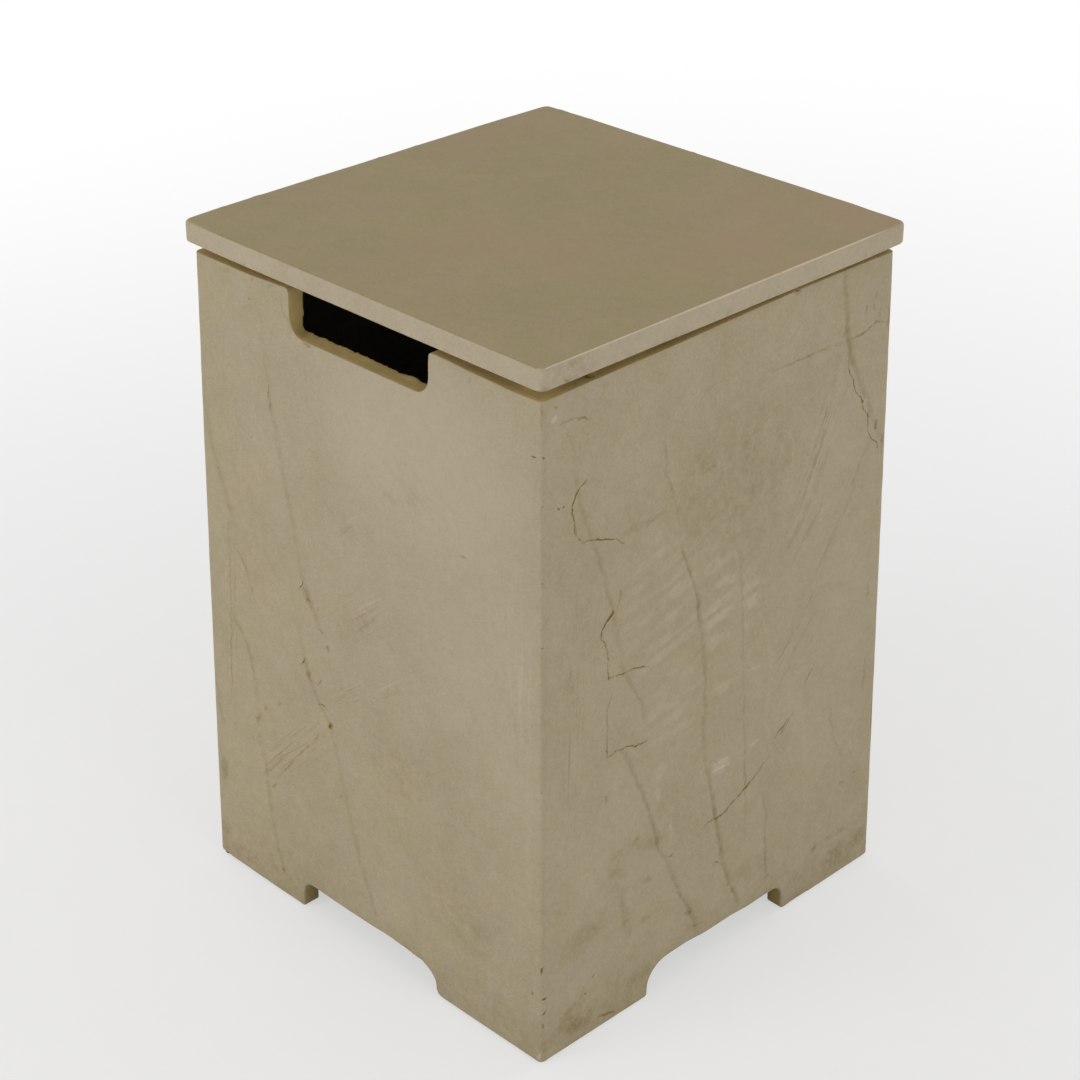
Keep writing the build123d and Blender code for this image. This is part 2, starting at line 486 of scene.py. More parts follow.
def casting_grid(sizes):
    """Points of the casting, rows by columns, with each row's place in the section.

    The section is carried round the body. On each wall a column runs between a point of the foot
    line B and a point of the rim line T, with N the direction into the material there:
    (1 - rise) (B + shift r N) + rise (T + shift r N), with r the radius of the edge there. At the
    depth (1 - through) bite a + through (wall - bite b) behind the outer face, with a and b the
    radii of the outer and the inner edge, the corner's radius goes from the outer to the inner.
    """
    rise, shift, bite, through = (part[:, None] for part in section_rows())
    calm = CALM * half_side(sizes, body_high.z)
    widening = sizes.inner_corner - sizes.outer_corner + sizes.wall
    blocks = []
    for wall in range(4):
        rim_across, rim_height, rim_lean, angle = rim_line(sizes, wall, sizes.hold_corner)
        inner_across, inner_height, _, _ = rim_line(sizes, wall, sizes.hold_inner_corner)
        rim_across = rim_across + through * (inner_across - rim_across)
        rim_height = rim_height + through * (inner_height - rim_height)
        foot_across, foot_height, foot_lean, angle = foot_line(sizes, wall)
        reach = foot_across.max()
        wear = np.where(foot_across > 0, FOOT_WEAR[wall], FOOT_WEAR[wall - 1])
        to_corner = wear * (1 - smooth((reach - abs(foot_across)) / (4 * sizes.foot_wear)))
        foot_outside = sizes.foot_edge + (sizes.foot_wear - sizes.foot_edge) * to_corner
        foot_radius = foot_outside + (sizes.foot_edge - foot_outside) * through
        rim_radius = sizes.rim_edge + (sizes.rim_inside - sizes.rim_edge) * through
        foot = (
            foot_across - np.sin(foot_lean) * foot_radius * shift,
            foot_height + np.cos(foot_lean) * foot_radius * shift,
        )
        rim = (
            rim_across - np.sin(rim_lean) * rim_radius * shift,
            rim_height - np.cos(rim_lean) * rim_radius * shift,
        )
        across = (1 - rise) * foot[0] + rise * rim[0]
        height = (1 - rise) * foot[1] + rise * rim[1]
        outside = (1 - rise) * foot_outside + rise * sizes.rim_edge
        inside = (1 - rise) * sizes.foot_edge + rise * sizes.rim_inside
        wall_here = (1 - rise) * sizes.foot_wall + rise * sizes.wall
        depth = (1 - through) * bite * outside + through * (wall_here - bite * inside)
        share = depth / sizes.wall
        half = half_side(sizes, height)
        near_corner = np.clip((abs(across) - calm) / (half - sizes.outer_corner - calm), 0, 1)
        squeezed = across - np.sign(across) * widening * share * near_corner
        corner = sizes.outer_corner + (sizes.inner_corner - sizes.outer_corner) * share
        along = squeezed + corner * np.sin(angle)
        outward = half - depth - corner + corner * np.cos(angle)
        turn = wall * QUARTER
        blocks.append(
            np.stack(
                [
                    along * math.cos(turn) + outward * math.sin(turn),
                    along * math.sin(turn) - outward * math.cos(turn),
                    height + 0 * along,
                ],
                axis=-1,
            )
        )
    return np.concatenate(blocks, axis=1), rise, bite, through


def weathered(grid, sizes, bite, through):
    """The casting's points moved along their normals.

    The outside gets two sizes of noise, the inside a coarser one, and where fine noise passes a
    threshold an edge is chipped inwards. The inner edge of the rim and hand-holds is ragged.
    """
    outward = normals(grid)
    outside = (through == 0) & (bite == 0)
    inside = (through == 1) & (bite == 0)
    edge = (bite > 0) & (bite < 1)
    shell = grid * (1, 1, 0.6)
    broad, hand = (noise(shell, cell, seed) for cell, seed in zip(SWELL_CELLS, (3, 4)))
    move = sizes.swell * (0.6 * broad + 0.4 * hand)
    move = move + sizes.ripple * noise(grid, RIPPLE_CELL, 5) * outside
    move = move + 4 * sizes.ripple * noise(grid, INNER_CELL, 6) * inside
    fine, coarse = (noise(grid, cell, seed) for cell, seed in zip(CHIP_CELLS, (7, 8)))
    chips = smooth((fine + 0.5 * coarse - CHIP_START) / CHIP_RANGE)
    move = move - sizes.chip * chips * edge
    ragged = (through == 1) & (bite > 0) & (grid[..., 2] > body_high.z - 2 * sizes.hold_depth)
    coarse, fine = (noise(grid, cell, seed) for cell, seed in zip(TORN_CELLS, (9, 10)))
    torn = 0.5 + 0.5 * coarse + 0.7 * fine
    move = move + sizes.ragged * torn * ragged
    return grid + outward * move[..., None]


def make_casting(sizes):
    """The cast body as one closed surface, with a UV map in metres: across each wall from its
    left edge, with the walls' lean taken out, and up from the ground."""
    grid, rise, bite, through = casting_grid(sizes)
    rows, columns = grid.shape[:2]
    points = weathered(grid, sizes, bite, through)
    faces = quads(rows, columns, True)
    piece = new_piece("cover_casting", points, faces)

    per_wall = columns // 4
    column = np.arange(columns)
    past_corner = column % per_wall >= per_wall - 1 - CORNER // 2
    wall_of_column = (column // per_wall + past_corner) % 4
    wall = np.broadcast_to(wall_of_column, (rows, columns)).ravel()
    # Outer walls, down to the outer half of the rim's outer edge, get the wall finishes; the rim,
    # the reveals and the feet's undersides and arches get the rim finish, lightened as painted
    # bounce light; the inner walls get the inside finish, darkened as painted shade.
    is_outside = (through == 0) & (bite < np.where(rise == 1, 0.5, 1))
    is_rim = ~is_outside & ((rise == 1) | (rise == 0))
    kind = np.where(is_outside, 0, np.where(is_rim, 1, 2))
    kind = np.broadcast_to(kind, (rows, columns)).ravel()
    finish = np.where(kind == 0, wall, len(WALLS) - 1 + kind)
    piece.data.polygons.foreach_set("material_index", finish.astype(np.int32))

    corners = points.reshape(-1, 3)[faces]
    turn = (wall * QUARTER)[:, None]
    along = corners[..., 0] * np.cos(turn) + corners[..., 1] * np.sin(turn)
    half = half_side(sizes, corners[..., 2])
    across = (along / half + 1) * lid_high.x
    places = np.stack([across, corners[..., 2]], axis=-1)
    layer = piece.data.uv_layers.new(name="wall")
    layer.uv.foreach_set("vector", places.astype(np.float32).ravel())
    return piece


# ---------------------------------------------------------------- the slab and the rubber

# Steps of the slab's grid: along a side, round a corner, from the middle out, round an edge
SLAB_SIDE, SLAB_CORNER, SLAB_RINGS, SLAB_EDGE, SLAB_RISE = 96, 8, 34, 6, 5
# The worn corners as x, y and how worn each is; the one in front on the right is crisp
WORN_CORNERS = ((1, 1, 1.0), (-1, 1, 0.7), (-1, -1, 0.6))
# Share of half a side over which a worn corner fades out, and how much of the wear is underneath
WORN_REACH = 0.3
WORN_BELOW = 0.6
# Noise at which a nick starts, and how much more makes it whole
NICK_START = 0.75
NICK_RANGE = 0.5
# Steps of a rubber disc: round its axis, round a rim and up its side, and shares of its radius
# where the rings of its ends lie
DISC_AROUND, DISC_RIM, DISC_SIDE = 48, 7, 8
DISC_RINGS = np.array([0.35, 0.7])


def slab_path(half, corner):
    """Outline of the slab as points and unit normals: four straights joined by quarter circles."""
    points = []
    outward = []
    for number in range(4):
        turn = number * QUARTER
        level = run(-half + corner, half - corner, SLAB_SIDE)
        angle = run(0, QUARTER, SLAB_CORNER)
        along = np.concatenate([level, half - corner + corner * np.sin(angle)])
        out = np.concatenate([0 * level + half, half - corner + corner * np.cos(angle)])
        lean = np.concatenate([0 * level, angle])
        points.append(
            (
                along * math.cos(turn) + out * math.sin(turn),
                along * math.sin(turn) - out * math.cos(turn),
            )
        )
        outward.append((np.sin(lean + turn), -np.cos(lean + turn)))
    return np.concatenate(points, axis=1).T, np.concatenate(outward, axis=1).T


def make_slab(sizes):
    """The lid as one closed surface: rings from the middle of the top to the middle of the
    underside. Round an edge of radius r, at the angle p, a ring lies r (1 - sin p) inside the
    outline and r (1 - cos p) below the face, and the rings of a face shrink evenly to a point."""
    half = lid_high.x
    path, outward = slab_path(half, sizes.corner)
    worn = 0
    for x, y, share in WORN_CORNERS:
        apart = np.hypot(path[:, 0] - x * half, path[:, 1] - y * half)
        worn = worn + share * smooth(1 - apart / (WORN_REACH * half))
    radius = sizes.edge + (sizes.worn_edge - sizes.edge) * worn
    radius = radius * (1 + 0.2 * noise(np.c_[path, 0 * worn], 0.02, 21))
    low_radius = sizes.edge + WORN_BELOW * (sizes.worn_edge - sizes.edge) * worn
    angle = run(0, QUARTER, SLAB_EDGE)[::-1]
    shrink = run(0, 1, SLAB_RINGS)[1:]
    top = [(share, 1, 0) for share in shrink]
    top += [(1, 1 - math.sin(a), 1 - math.cos(a)) for a in angle[::-1]]
    rows = []
    for share, shift, bite in top:
        ring = (path - outward * (shift if share == 1 else 1) * radius[:, None]) * share
        rows.append(np.c_[ring, lid_high.z - bite * radius])
    side_high = lid_high.z - radius
    side_low = lid_low.z + low_radius
    for part in np.linspace(0, 1, SLAB_RISE + 1):
        rows.append(np.c_[path, side_high + part * (side_low - side_high)])
    for share, shift, bite in top[::-1]:
        ring = (path - outward * (shift if share == 1 else 1) * low_radius[:, None]) * share
        rows.append(np.c_[ring, lid_low.z + bite * low_radius])
    grid = np.array(rows)

    out = normals(grid)
    out[0] = (0, 0, 1)
    out[-1] = (0, 0, -1)
    along_edge = abs(np.arange(len(rows)) - (SLAB_RINGS + SLAB_EDGE / 2)) < SLAB_EDGE / 2 + 1
    nicks = noise(grid, 0.005, 22) + 0.6 * noise(grid, 0.025, 23)
    nicks = smooth((nicks - NICK_START) / NICK_RANGE)
    move = sizes.swell * (0.6 * noise(grid, 0.12, 24) + 0.4 * noise(grid, 0.04, 25))
    move = move - sizes.chip * nicks * along_edge[:, None]
    grid = grid + out * move[..., None]

    faces = with_poles(*grid.shape[:2], step=-1)
    return new_piece("lid_slab", grid, faces, ((0, 0, lid_high.z), (0, 0, lid_low.z)))


def puck(name, low, high, floor, bulge, rounding):
    """A rubber disc between two heights, turned about its axis: at the share v of its height its
    radius is R (1 - bulge + bulge sin(pi v)), and its rims are rounded by a share of its height."""
    centre = (low + high) / 2
    radius = (high.x - low.x) / 2
    height = high.z - floor
    edge = height * rounding
    angle = np.linspace(0, QUARTER, DISC_RIM)
    side = np.linspace(edge, height - edge, DISC_SIDE + 2)[1:-1]
    low_rim = edge * (1 - np.cos(angle))
    inset = np.concatenate([edge * (1 - np.sin(angle)), 0 * side, low_rim])
    rise = np.concatenate([low_rim, side, height - edge + edge * np.sin(angle)])
    swollen = radius * (1 - bulge + bulge * np.sin(math.pi * rise / height)) - inset
    swollen = np.concatenate(
        [DISC_RINGS * swollen[0], swollen, DISC_RINGS[::-1] * swollen[-1]]
    )
    rise = np.concatenate([0 * DISC_RINGS, rise, height + 0 * DISC_RINGS])
    foot = np.array([centre.x, centre.y, floor])
    grid = swollen[:, None, None] * circle(DISC_AROUND) + foot
    grid[..., 2] += rise[:, None]
    faces = with_poles(*grid.shape[:2])
    return new_piece(name, grid, faces, (foot, foot + (0, 0, height)))


# ---------------------------------------------------------------- materials


class Finish:
    """A material under construction. Each method adds a node and returns its output."""

    def __init__(self, name):
        self.material = bpy.data.materials.new(name)
        self.material.use_nodes = True
        self.nodes = self.material.node_tree.nodes
        self.links = self.material.node_tree.links
        self.surface = self.nodes["Principled BSDF"]
        self.surface.inputs["Specular IOR Level"].default_value = 0.25
        self.place = self.add("TexCoord", output="Object")

    def add(self, kind, *values, output=0, **settings):
        """A shader node of this kind with these settings, and with its first inputs given as
        numbers, colours or other nodes' outputs."""
        node = self.nodes.new("ShaderNode" + kind)
        for key, value in settings.items():
            setattr(node, key, value)
        for socket, value in zip(node.inputs, values):
            self.give(socket, value)
        return node.outputs[output]

    def give(self, socket, value):
        """Sets an input to a value, or links it to an output."""
        if isinstance(value, bpy.types.NodeSocket):
            self.links.new(value, socket)
        elif value is not None:
            if socket.type == "RGBA" and len(value) == 3:
                value = (*value, 1)
            socket.default_value = value

    def number(self, operation, *values, clamp=False):
        """Math node."""
        return self.add("Math", *values, operation=operation, use_clamp=clamp)

    def step(self, value, low, high, to_low=0.0, to_high=1.0):
        """to_low below low and to_high above high, with a smooth step between."""
        return self.add(
            "MapRange", value, low, high, to_low, to_high, interpolation_type="SMOOTHSTEP"
        )

    def blend(self, share, first, second):
        """Colour between two others."""
        node = self.nodes.new("ShaderNodeMix")
        node.data_type = "RGBA"
        for index, value in ((0, share), (6, first), (7, second)):
            self.give(node.inputs[index], value)
        return node.outputs[2]

    def noise(self, scale, detail=2.0, roughness=0.5, place=None, output=0):
        """Noise around 0.5 with features about 1 / scale metres wide; output 1 is its colour."""
        node = self.nodes.new("ShaderNodeTexNoise")
        self.links.new(place or self.place, node.inputs["Vector"])
        node.inputs["Scale"].default_value = scale
        node.inputs["Detail"].default_value = detail
        node.inputs["Roughness"].default_value = roughness
        return node.outputs[output]

    def stretched(self, scale, turn=(0, 0, 0), place=None):
        """Coordinates turned back by these angles and then scaled along each axis."""
        node = self.nodes.new("ShaderNodeMapping")
        node.vector_type = "TEXTURE"
        self.links.new(place or self.place, node.inputs["Vector"])
        node.inputs["Scale"].default_value = tuple(1 / part for part in scale)
        node.inputs["Rotation"].default_value = turn
        return node.outputs[0]

    def bump(self, height, distance):
        """Tilts the surface's normal as if its skin stood out by height times distance in metres."""
        node = self.nodes.new("ShaderNodeBump")
        node.inputs["Distance"].default_value = distance
        node.inputs["Strength"].default_value = 1
        self.links.new(height, node.inputs["Height"])
        self.links.new(node.outputs[0], self.surface.inputs["Normal"])

    def done(self, colour, roughness):
        """Puts the colour and roughness on the surface and returns the material."""
        self.give(self.surface.inputs["Base Color"], colour)
        self.give(self.surface.inputs["Roughness"], roughness)
        return self.material


class Wall(Finish):
    """Cast concrete of one outer wall under construction, with marks in the skin.

    Marks are placed in millimetres: across from the wall's left edge, seen from outside, and up
    from the ground. Strengths are in percent.
    """

    # Noises that push places about, so that marks have ragged outlines: scale and reach
    PUSHES = ((45, 6 * MM), (170, 4.2 * MM), (600, 1.6 * MM))
    # Millimetres past its ends at which a line has faded out, and at which its curve ends
    FADED, OUT = 4, 9
    # Half width in millimetres above which a dark spot is a smear
    SMEAR = 2
    # Length over width above which a spot is a stroke
    STROKE = 12

    def __init__(self, name):
        super().__init__(name)
        flat = self.add("UVMap", uv_map="wall")
        self.straight = flat
        self.stroke_place = self.add("VectorMath", flat, (0, 0, 1), operation="ADD")
        for scale, reach in self.PUSHES:
            push = self.noise(scale, 2, output=1)
            push = self.add("VectorMath", push, (0.5, 0.5, 0.5), operation="SUBTRACT")
            flat = self.add("VectorMath", push, (reach, reach, 0), flat, operation="MULTIPLY_ADD")
        self.flat = flat
        self.spot_place = self.add("VectorMath", flat, (0, 0, 1), operation="ADD")
        self.across = self.add("SeparateXYZ", flat)
        self.height = self.add("SeparateXYZ", flat, output=1)
        self.totals = {"dark": 0.0, "smear": 0.0, "pale": 0.0, "dry": 0.0}

    def curve(self, value, points):
        """Smooth curve through points."""
        node = self.nodes.new("ShaderNodeFloatCurve")
        curve = node.mapping.curves[0]
        for number, (x, y) in enumerate(points):
            point = curve.points[number] if number < 2 else curve.points.new(x, y)
            point.location = (x, y)
            point.handle_type = "AUTO_CLAMPED"
        node.mapping.extend = "HORIZONTAL"
        node.mapping.update()
        self.links.new(value, node.inputs["Value"])
        return node.outputs[0]

    def line(self, tone, left, right, points, level=False):
        """Line through points (height, across, strength), or (across, height, strength) if level.

        It fades out at the distance left on one side and right on the other, and past its ends.
        """
        along, off = (self.across, self.height) if level else (self.height, self.across)
        points = sorted(points)
        route = self.curve(along, [(x * MM, y * MM) for x, y, _ in points])
        first, last = points[0][0], points[-1][0]
        ends = [(first - self.OUT, 0), (first - self.FADED, 0)]
        ends += [(last + self.FADED, 0), (last + self.OUT, 0)]
        strength = sorted(ends + [(x, percent / 100) for x, _, percent in points])
        strength = self.curve(along, [(x * MM, y) for x, y in strength])
        apart = self.number("SUBTRACT", off, route)
        near = self.number(
            "MINIMUM", self.step(apart, -left * MM, 0), self.step(apart, right * MM, 0)
        )
        self.totals[tone] = self.number("MULTIPLY_ADD", near, strength, self.totals[tone])

    def spot(self, tone, across, height, long, wide, turn, percent):
        """Soft ellipse with these half lengths, its long axis turned up from level by degrees.

        Wide dark spots are smears, which get broken up.
        """
        if tone == "dark" and wide > self.SMEAR:
            tone = "smear"
        self.add_share(tone, self.ellipse(across, height, long, wide, turn), percent)

    def ellipse(self, across, height, long, wide, turn):
        """1 in the middle of an ellipse and 0 outside, with a smooth step between.

        Very long ones are strokes, which stay straight.
        """
        total = 0.0
        place = self.stroke_place if long > self.STROKE * wide else self.spot_place
        for half, angle in ((long, math.radians(turn)), (wide, math.radians(turn + 90))):
            x, y = math.cos(angle), math.sin(angle)
            middle = (x * across + y * height) / half
            axis = (x / (half * MM), y / (half * MM), -middle)
            apart = self.add("VectorMath", place, axis, operation="DOT_PRODUCT", output=1)
            total = self.number("MULTIPLY_ADD", apart, apart, total)
        return self.step(total, 1, 0)

    def spots(self, tone, *spots):
        """Several spots."""
        for each in spots:
            self.spot(tone, *each)

    def add_share(self, tone, mask, percent):
        """Adds a mask times a strength to a total."""
        self.totals[tone] = self.number("MULTIPLY_ADD", mask, percent / 100, self.totals[tone])

    def brushed(self, across, height, long, wide, turn, percent):
        """Pale bands of brush strokes inside an upright ellipse, with thin gaps between them."""
        turned = (0, 0, math.radians(turn))
        tilted = self.stretched((0.3, 1, 1), turned, self.flat)
        wave = self.add("TexWave", tilted, 20, 6, 2, 1.1, 0.5, bands_direction="Y", output=1)
        broken = self.noise(1, 3, 0.6, self.stretched((30, 62, 1), turned, self.flat))
        stroke = self.number("MULTIPLY", self.step(wave, 0.05, 0.7), self.step(broken, 0.36, 0.6))
        inside = self.ellipse(across, height, long, wide, 0)
        self.add_share("pale", self.number("MULTIPLY", stroke, inside), percent)

    def scratched(self, tone, across, height, long, wide, turn, percent, finest=420):
        """Fine parallel scratches inside an ellipse, along its long axis."""
        turned = (0, 0, math.radians(turn))
        fine = self.noise(1, 2, 0.6, self.stretched((16, finest, 1), turned, self.straight))
        inside = self.ellipse(across, height, long, wide, turn)
        self.add_share(tone, self.number("MULTIPLY", self.step(fine, 0.5, 0.66), inside), percent)


def front_marks(wall):
    """Veins and stains of the front wall: two veins from the top left to the arch, with knots
    where they cross trowel strokes."""
    vein, spots = wall.line, wall.spots
    vein("dark", 4.5, 7.2, [
        (558, 72, 3), (542, 84, 7), (516, 85, 4), (498, 89, 9), (475, 91, 15), (449, 98, 11),
        (421, 104, 9), (396, 110, 14), (363, 118, 10), (329, 126, 18), (311, 135, 21),
        (297, 141, 18), (286, 152, 6)
    ])
    vein("dark", 4.5, 6.3, [
        (283, 119, 3), (269, 122, 7), (252, 127, 15), (238, 132, 21), (219, 143, 22),
        (207, 154, 18), (189, 160, 11), (148, 171, 11), (122, 178, 12), (98, 186, 15),
        (79, 192, 14), (56, 202, 16), (32, 212, 7)
    ])
    vein("dark", 5.4, 5.4, [
        (465, 3.5, 9), (426, 11, 13), (391, 21, 14), (361, 33, 14), (345, 39, 7)
    ])
    vein("dark", 2.7, 5.4, [
        (327, 37, 5), (321, 42, 12), (314, 49, 18), (302, 55, 19), (288, 59, 7)
    ])
    vein("dark", 3.6, 5.4, [
        (258, 34, 7), (254, 36, 13), (245, 43, 18), (237, 49, 19), (217, 56, 15), (180, 61, 9),
        (144, 64, 6), (126, 68, 15), (98, 73, 14), (66, 78, 12), (47, 82, 15), (26, 90, 14)
    ])
    vein("dark", 1.4, 1.9, [(343, 31, 12), (271, 31, 21), (209, 28, 28), (176, 27, 9)])
    vein("dark", 1.1, 1.4, [(323, 37, 9), (273, 37, 18), (224, 36, 7)])
    vein("dark", 5.4, 3.6, [(189, 3.9, 10), (166, 7, 15), (141, 12, 9)])
    vein("dark", 1.8, 3.8, [(567, 109, 9), (554, 112, 18), (542, 120, 14)])
    spots(
        "dark",
        (91, 482, 8, 1.1, 86, 65), (93, 470, 4, 0.8, 84, 50), (125, 322, 7, 0.8, 62, 90),
        (124, 252, 7, 0.8, 58, 90), (147, 290, 6, 0.8, -6, 70), (147, 219, 7, 0.9, 6, 85),
        (131, 313, 11, 4, -62, 38), (143, 307, 6, 0.9, 50, 35), (156, 276, 4, 3, 60, 34),
        (130, 243, 12, 4, -68, 42), (144, 239, 6, 0.9, 50, 35), (156, 204, 5.5, 2.8, 66, 55),
        (62, 168, 8, 3.4, 66, 44), (73, 184, 6, 3, 40, 30), (92, 195, 3, 2, 45, 30),
        (12, 94, 22, 6, 80, 32), (5, 64, 12, 5, 80, 22), (89, 27, 5, 2.6, -60, 40),
        (20, 391, 3, 0.8, 0, 60), (66, 434, 1.6, 1.2, 0, 55), (317, 422, 6, 0.7, 5, 50),
        (392, 528, 3.4, 0.8, 0, 80), (390, 66, 3, 1.6, 60, 55), (326, 566, 4, 2, 60, 28),
        (168, 141, 5, 0.6, 45, 45), (71, 553, 2.4, 1.6, 60, 50), (75, 571, 3, 1.1, 80, 45),
        (97, 572, 3, 0.8, 0, 40), (141, 536, 8, 2, -6, 36), (41, 568, 10, 4, 5, 20),
        (38, 16, 20, 8, 8, 24), (6, 26, 14, 12, 30, 26), (399.4, 562, 14, 2.4, 90, 34),
        (58, 41, 20, 8, 0, 12), (312, 100, 60, 44, 0, 14), (238, 200, 46, 40, 0, 12),
        (252, 446, 40, 20, 10, 7), (178, 398, 26, 12, -20, 10), (61, 331, 46, 90, 0, 7),
        (192, 311, 40, 22, 38, 8),
    )
    for across, height, long, turn, percent in (
        (107, 157, 62, 41, 20), (91, 148, 38, 47, 26), (112, 176, 22, 45, 18),
        (84, 132, 17, 52, 24), (102, 141, 25, 52, 22), (98, 135, 30, 48, 18),
        (203, 328, 30, 38, 18), (208, 322, 22, 40, 12), (182, 393, 20, 42, 16),
        (189, 242, 13, 36, 18), (227, 263, 30, 38, 12), (69, 118, 16, 62, 16),
    ):
        wall.spot("dark", across, height, long, 0.9, turn, percent)
    spots(
        "dark",
        (117, 159, 7, 2, 48, 34), (126, 170, 4, 2, 45, 30), (139, 185, 6, 1.6, 52, 26),
        (80, 109, 6, 2, 50, 34), (75, 122, 5, 1.4, 40, 26),
    )
    spots(
        "pale",
        (264, 482, 130, 96, 0, 20), (331, 341, 90, 160, 10, 12), (240, 85, 60, 50, 0, 6),
        (205, 336, 30, 1.4, 38, 26), (185, 402, 18, 1.2, 42, 22), (378, 321, 3, 55, 0, 14),
        (388, 341, 2, 70, 0, 16), (363, 333, 1.6, 40, 0, 12), (398, 9, 3, 4, 0, 90),
        (226, 271, 34, 1.4, 38, 20), (386, 210, 6, 90, 0, 10),
    )
    spots(
        "dry",
        (250, 505, 190, 100, -16, 46), (300, 420, 150, 190, 0, 34), (372, 340, 50, 280, 0, 30),
        (60, 440, 90, 160, 0, 12), (220, 400, 230, 260, 0, 32),
    )
    wall.scratched("dark", 104, 150, 84, 26, 45, 16)
    wall.scratched("dark", 30, 250, 120, 17, 88, 12)
    wall.scratched("dark", 196, 318, 60, 26, 38, 13)
    wall.scratched("dark", 180, 246, 40, 16, 38, 15)
    wall.scratched("pale", 372, 360, 130, 18, 90, 20)


def right_marks(wall):
    """Veins, cracks and brush strokes of the right wall."""
    vein, spots = wall.line, wall.spots
    # the vein at the left, in three stretches
    vein("dark", 2.9, 5.4, [
        (551, 20, 5), (539, 28, 8), (510, 35, 8), (491, 37, 15), (473, 42, 15), (456, 49, 19),
        (441, 55, 26), (422, 62, 19), (398, 69, 15), (383, 74, 18), (354, 80, 11), (339, 84, 6)
    ])
    vein("dark", 2.9, 4.7, [
        (331, 85, 6), (319, 89, 21), (304, 98, 21), (285, 108, 21), (271, 112, 9)
    ])
    vein("dark", 3.2, 5.4, [
        (260, 79, 6), (253, 86, 17), (245, 91, 21), (220, 102, 22), (200, 111, 24), (170, 122, 30),
        (152, 128, 33), (139, 132, 27), (127, 138, 17), (110, 145, 18), (96, 151, 22),
        (83, 156, 32), (71, 163, 34), (60, 169, 43), (49, 173, 24), (35, 177, 15)
    ])
    # the cracks that hook away from it
    vein("dark", 1.4, 1.4, [
        (498, 48, 91), (495, 42, 104), (491, 36, 110), (482, 32.5, 110), (474, 32, 72),
        (466, 34, 58), (455, 38, 65), (449, 43, 65)
    ])
    vein("dark", 1.2, 1.2, [
        (45, 448, 65), (52, 447, 78), (62, 444, 124), (72, 441, 117), (80, 438, 78), (86, 433, 39)
    ], True)
    vein("dark", 1.1, 1.1, [(396, 84, 32), (388, 83, 47), (381, 79, 39)])
    vein("dark", 2, 2, [(379, 74.6, 104), (372, 69, 110), (366, 64.6, 98), (362, 62.6, 65)])
    vein("dark", 1.2, 1.2, [(360, 62.6, 72), (358, 66, 55), (344, 69, 49), (325, 72, 78)])
    vein("dark", 1.2, 1.2, [(72, 324, 65), (92, 320.5, 78), (105, 318, 78), (115, 315.7, 26)], True)
    vein("dark", 1.2, 1.2, [
        (315, 79, 13), (301, 73, 34), (290, 70, 44), (279, 70.7, 52), (257, 71, 65)
    ])
    vein("dark", 1.2, 1.2, [
        (72, 255.2, 65), (90, 254, 84), (103, 251.4, 98), (114, 248.5, 32)
    ], True)
    vein("dark", 1.2, 1.2, [(22, 550, 26), (42, 546.5, 52), (49, 543, 21)], True)
    # the vein in the middle
    vein("dark", 1.8, 3.6, [
        (525, 126, 4), (500, 130, 9), (491, 131, 23), (476, 131, 12), (456, 139, 21),
        (433, 145, 14), (408, 148, 9), (401, 151, 25), (389, 156, 30), (374, 162, 33),
        (361, 167, 30), (354, 169, 14)
    ])
    vein("dark", 2.9, 5.4, [
        (359, 168, 12), (350, 170, 41), (340, 171, 27), (320, 175, 21), (306, 177, 21),
        (271, 180, 21), (250, 181, 24), (231, 180, 17), (196, 184, 17), (165, 192, 27),
        (137, 197, 46), (125, 200, 29), (110, 203, 29), (84, 209, 27), (65, 216, 32), (44, 225, 29),
        (34, 228, 12)
    ])
    vein("dark", 1.9, 1.9, [
        (184, 136, 20), (191, 138, 55), (201, 138, 70), (214, 142, 80), (231, 149, 84),
        (246, 157, 60), (256, 164, 26), (269, 177, 11), (279, 187, 40), (291, 200, 14)
    ], True)
    vein("dark", 2.5, 3, [
        (375, 220, 7), (355, 221, 12), (286, 226, 15), (241, 228, 16), (191, 231, 16),
        (174, 232, 26), (158, 233, 23), (136, 233, 14), (104, 235, 9)
    ])
    vein("dark", 2.4, 2.5, [(134, 257, 9), (117, 259, 18), (86, 260, 22), (48, 262, 22)])
    # the vein at the top right, its ragged crack and the level line across it
    vein("dark", 4.7, 5.4, [
        (582, 335, 17), (558, 338, 22), (534, 341, 27), (516, 344, 34), (494, 352, 29),
        (479, 360, 26), (463, 368, 22), (450, 374, 21), (435, 380, 17), (418, 391, 11)
    ])
    vein("dark", 1.2, 1.2, [
        (500, 346, 39), (489, 347.5, 65), (478, 353, 78), (466, 356.6, 78), (459, 364.6, 124),
        (450, 366, 72), (444, 373, 78), (428, 374, 39), (421, 379, 91), (416, 385, 91),
        (407, 389.8, 52)
    ])
    vein("dark", 1.6, 1.9, [
        (248, 519, 10), (275, 517, 26), (290, 518, 34), (310, 518, 23), (335, 517, 18),
        (352, 516, 39), (370, 519, 60), (378, 520, 47), (392, 518, 18)
    ], True)
    # trowel sweeps
    vein("dark", 4.3, 5.4, [
        (511, 333, 5), (489, 329, 10), (463, 323.5, 12), (440, 316, 15), (422, 306, 22),
        (406, 298, 14), (390, 290, 6)
    ])
    vein("dark", 7.2, 4.3, [
        (430, 325, 5), (412, 316, 12), (394, 307, 15), (371, 289.7, 18), (350, 271.8, 8)
    ])
    vein("dark", 5.4, 3.6, [(382, 320, 4), (374, 313, 12), (360, 300, 15), (340, 283.8, 6)])
    vein("dark", 5.4, 3.6, [
        (420, 379, 6), (401, 366, 12), (378, 356, 12), (357, 342.8, 10), (311, 307, 5)
    ])
    vein("dark", 2.2, 2.2, [(190, 339, 4), (162, 342, 11), (128, 354.5, 14), (108, 358, 10)])
    vein("pale", 4.5, 3, [(507, 340, 2), (463, 330, 6), (430, 318, 8), (395, 300, 5)])
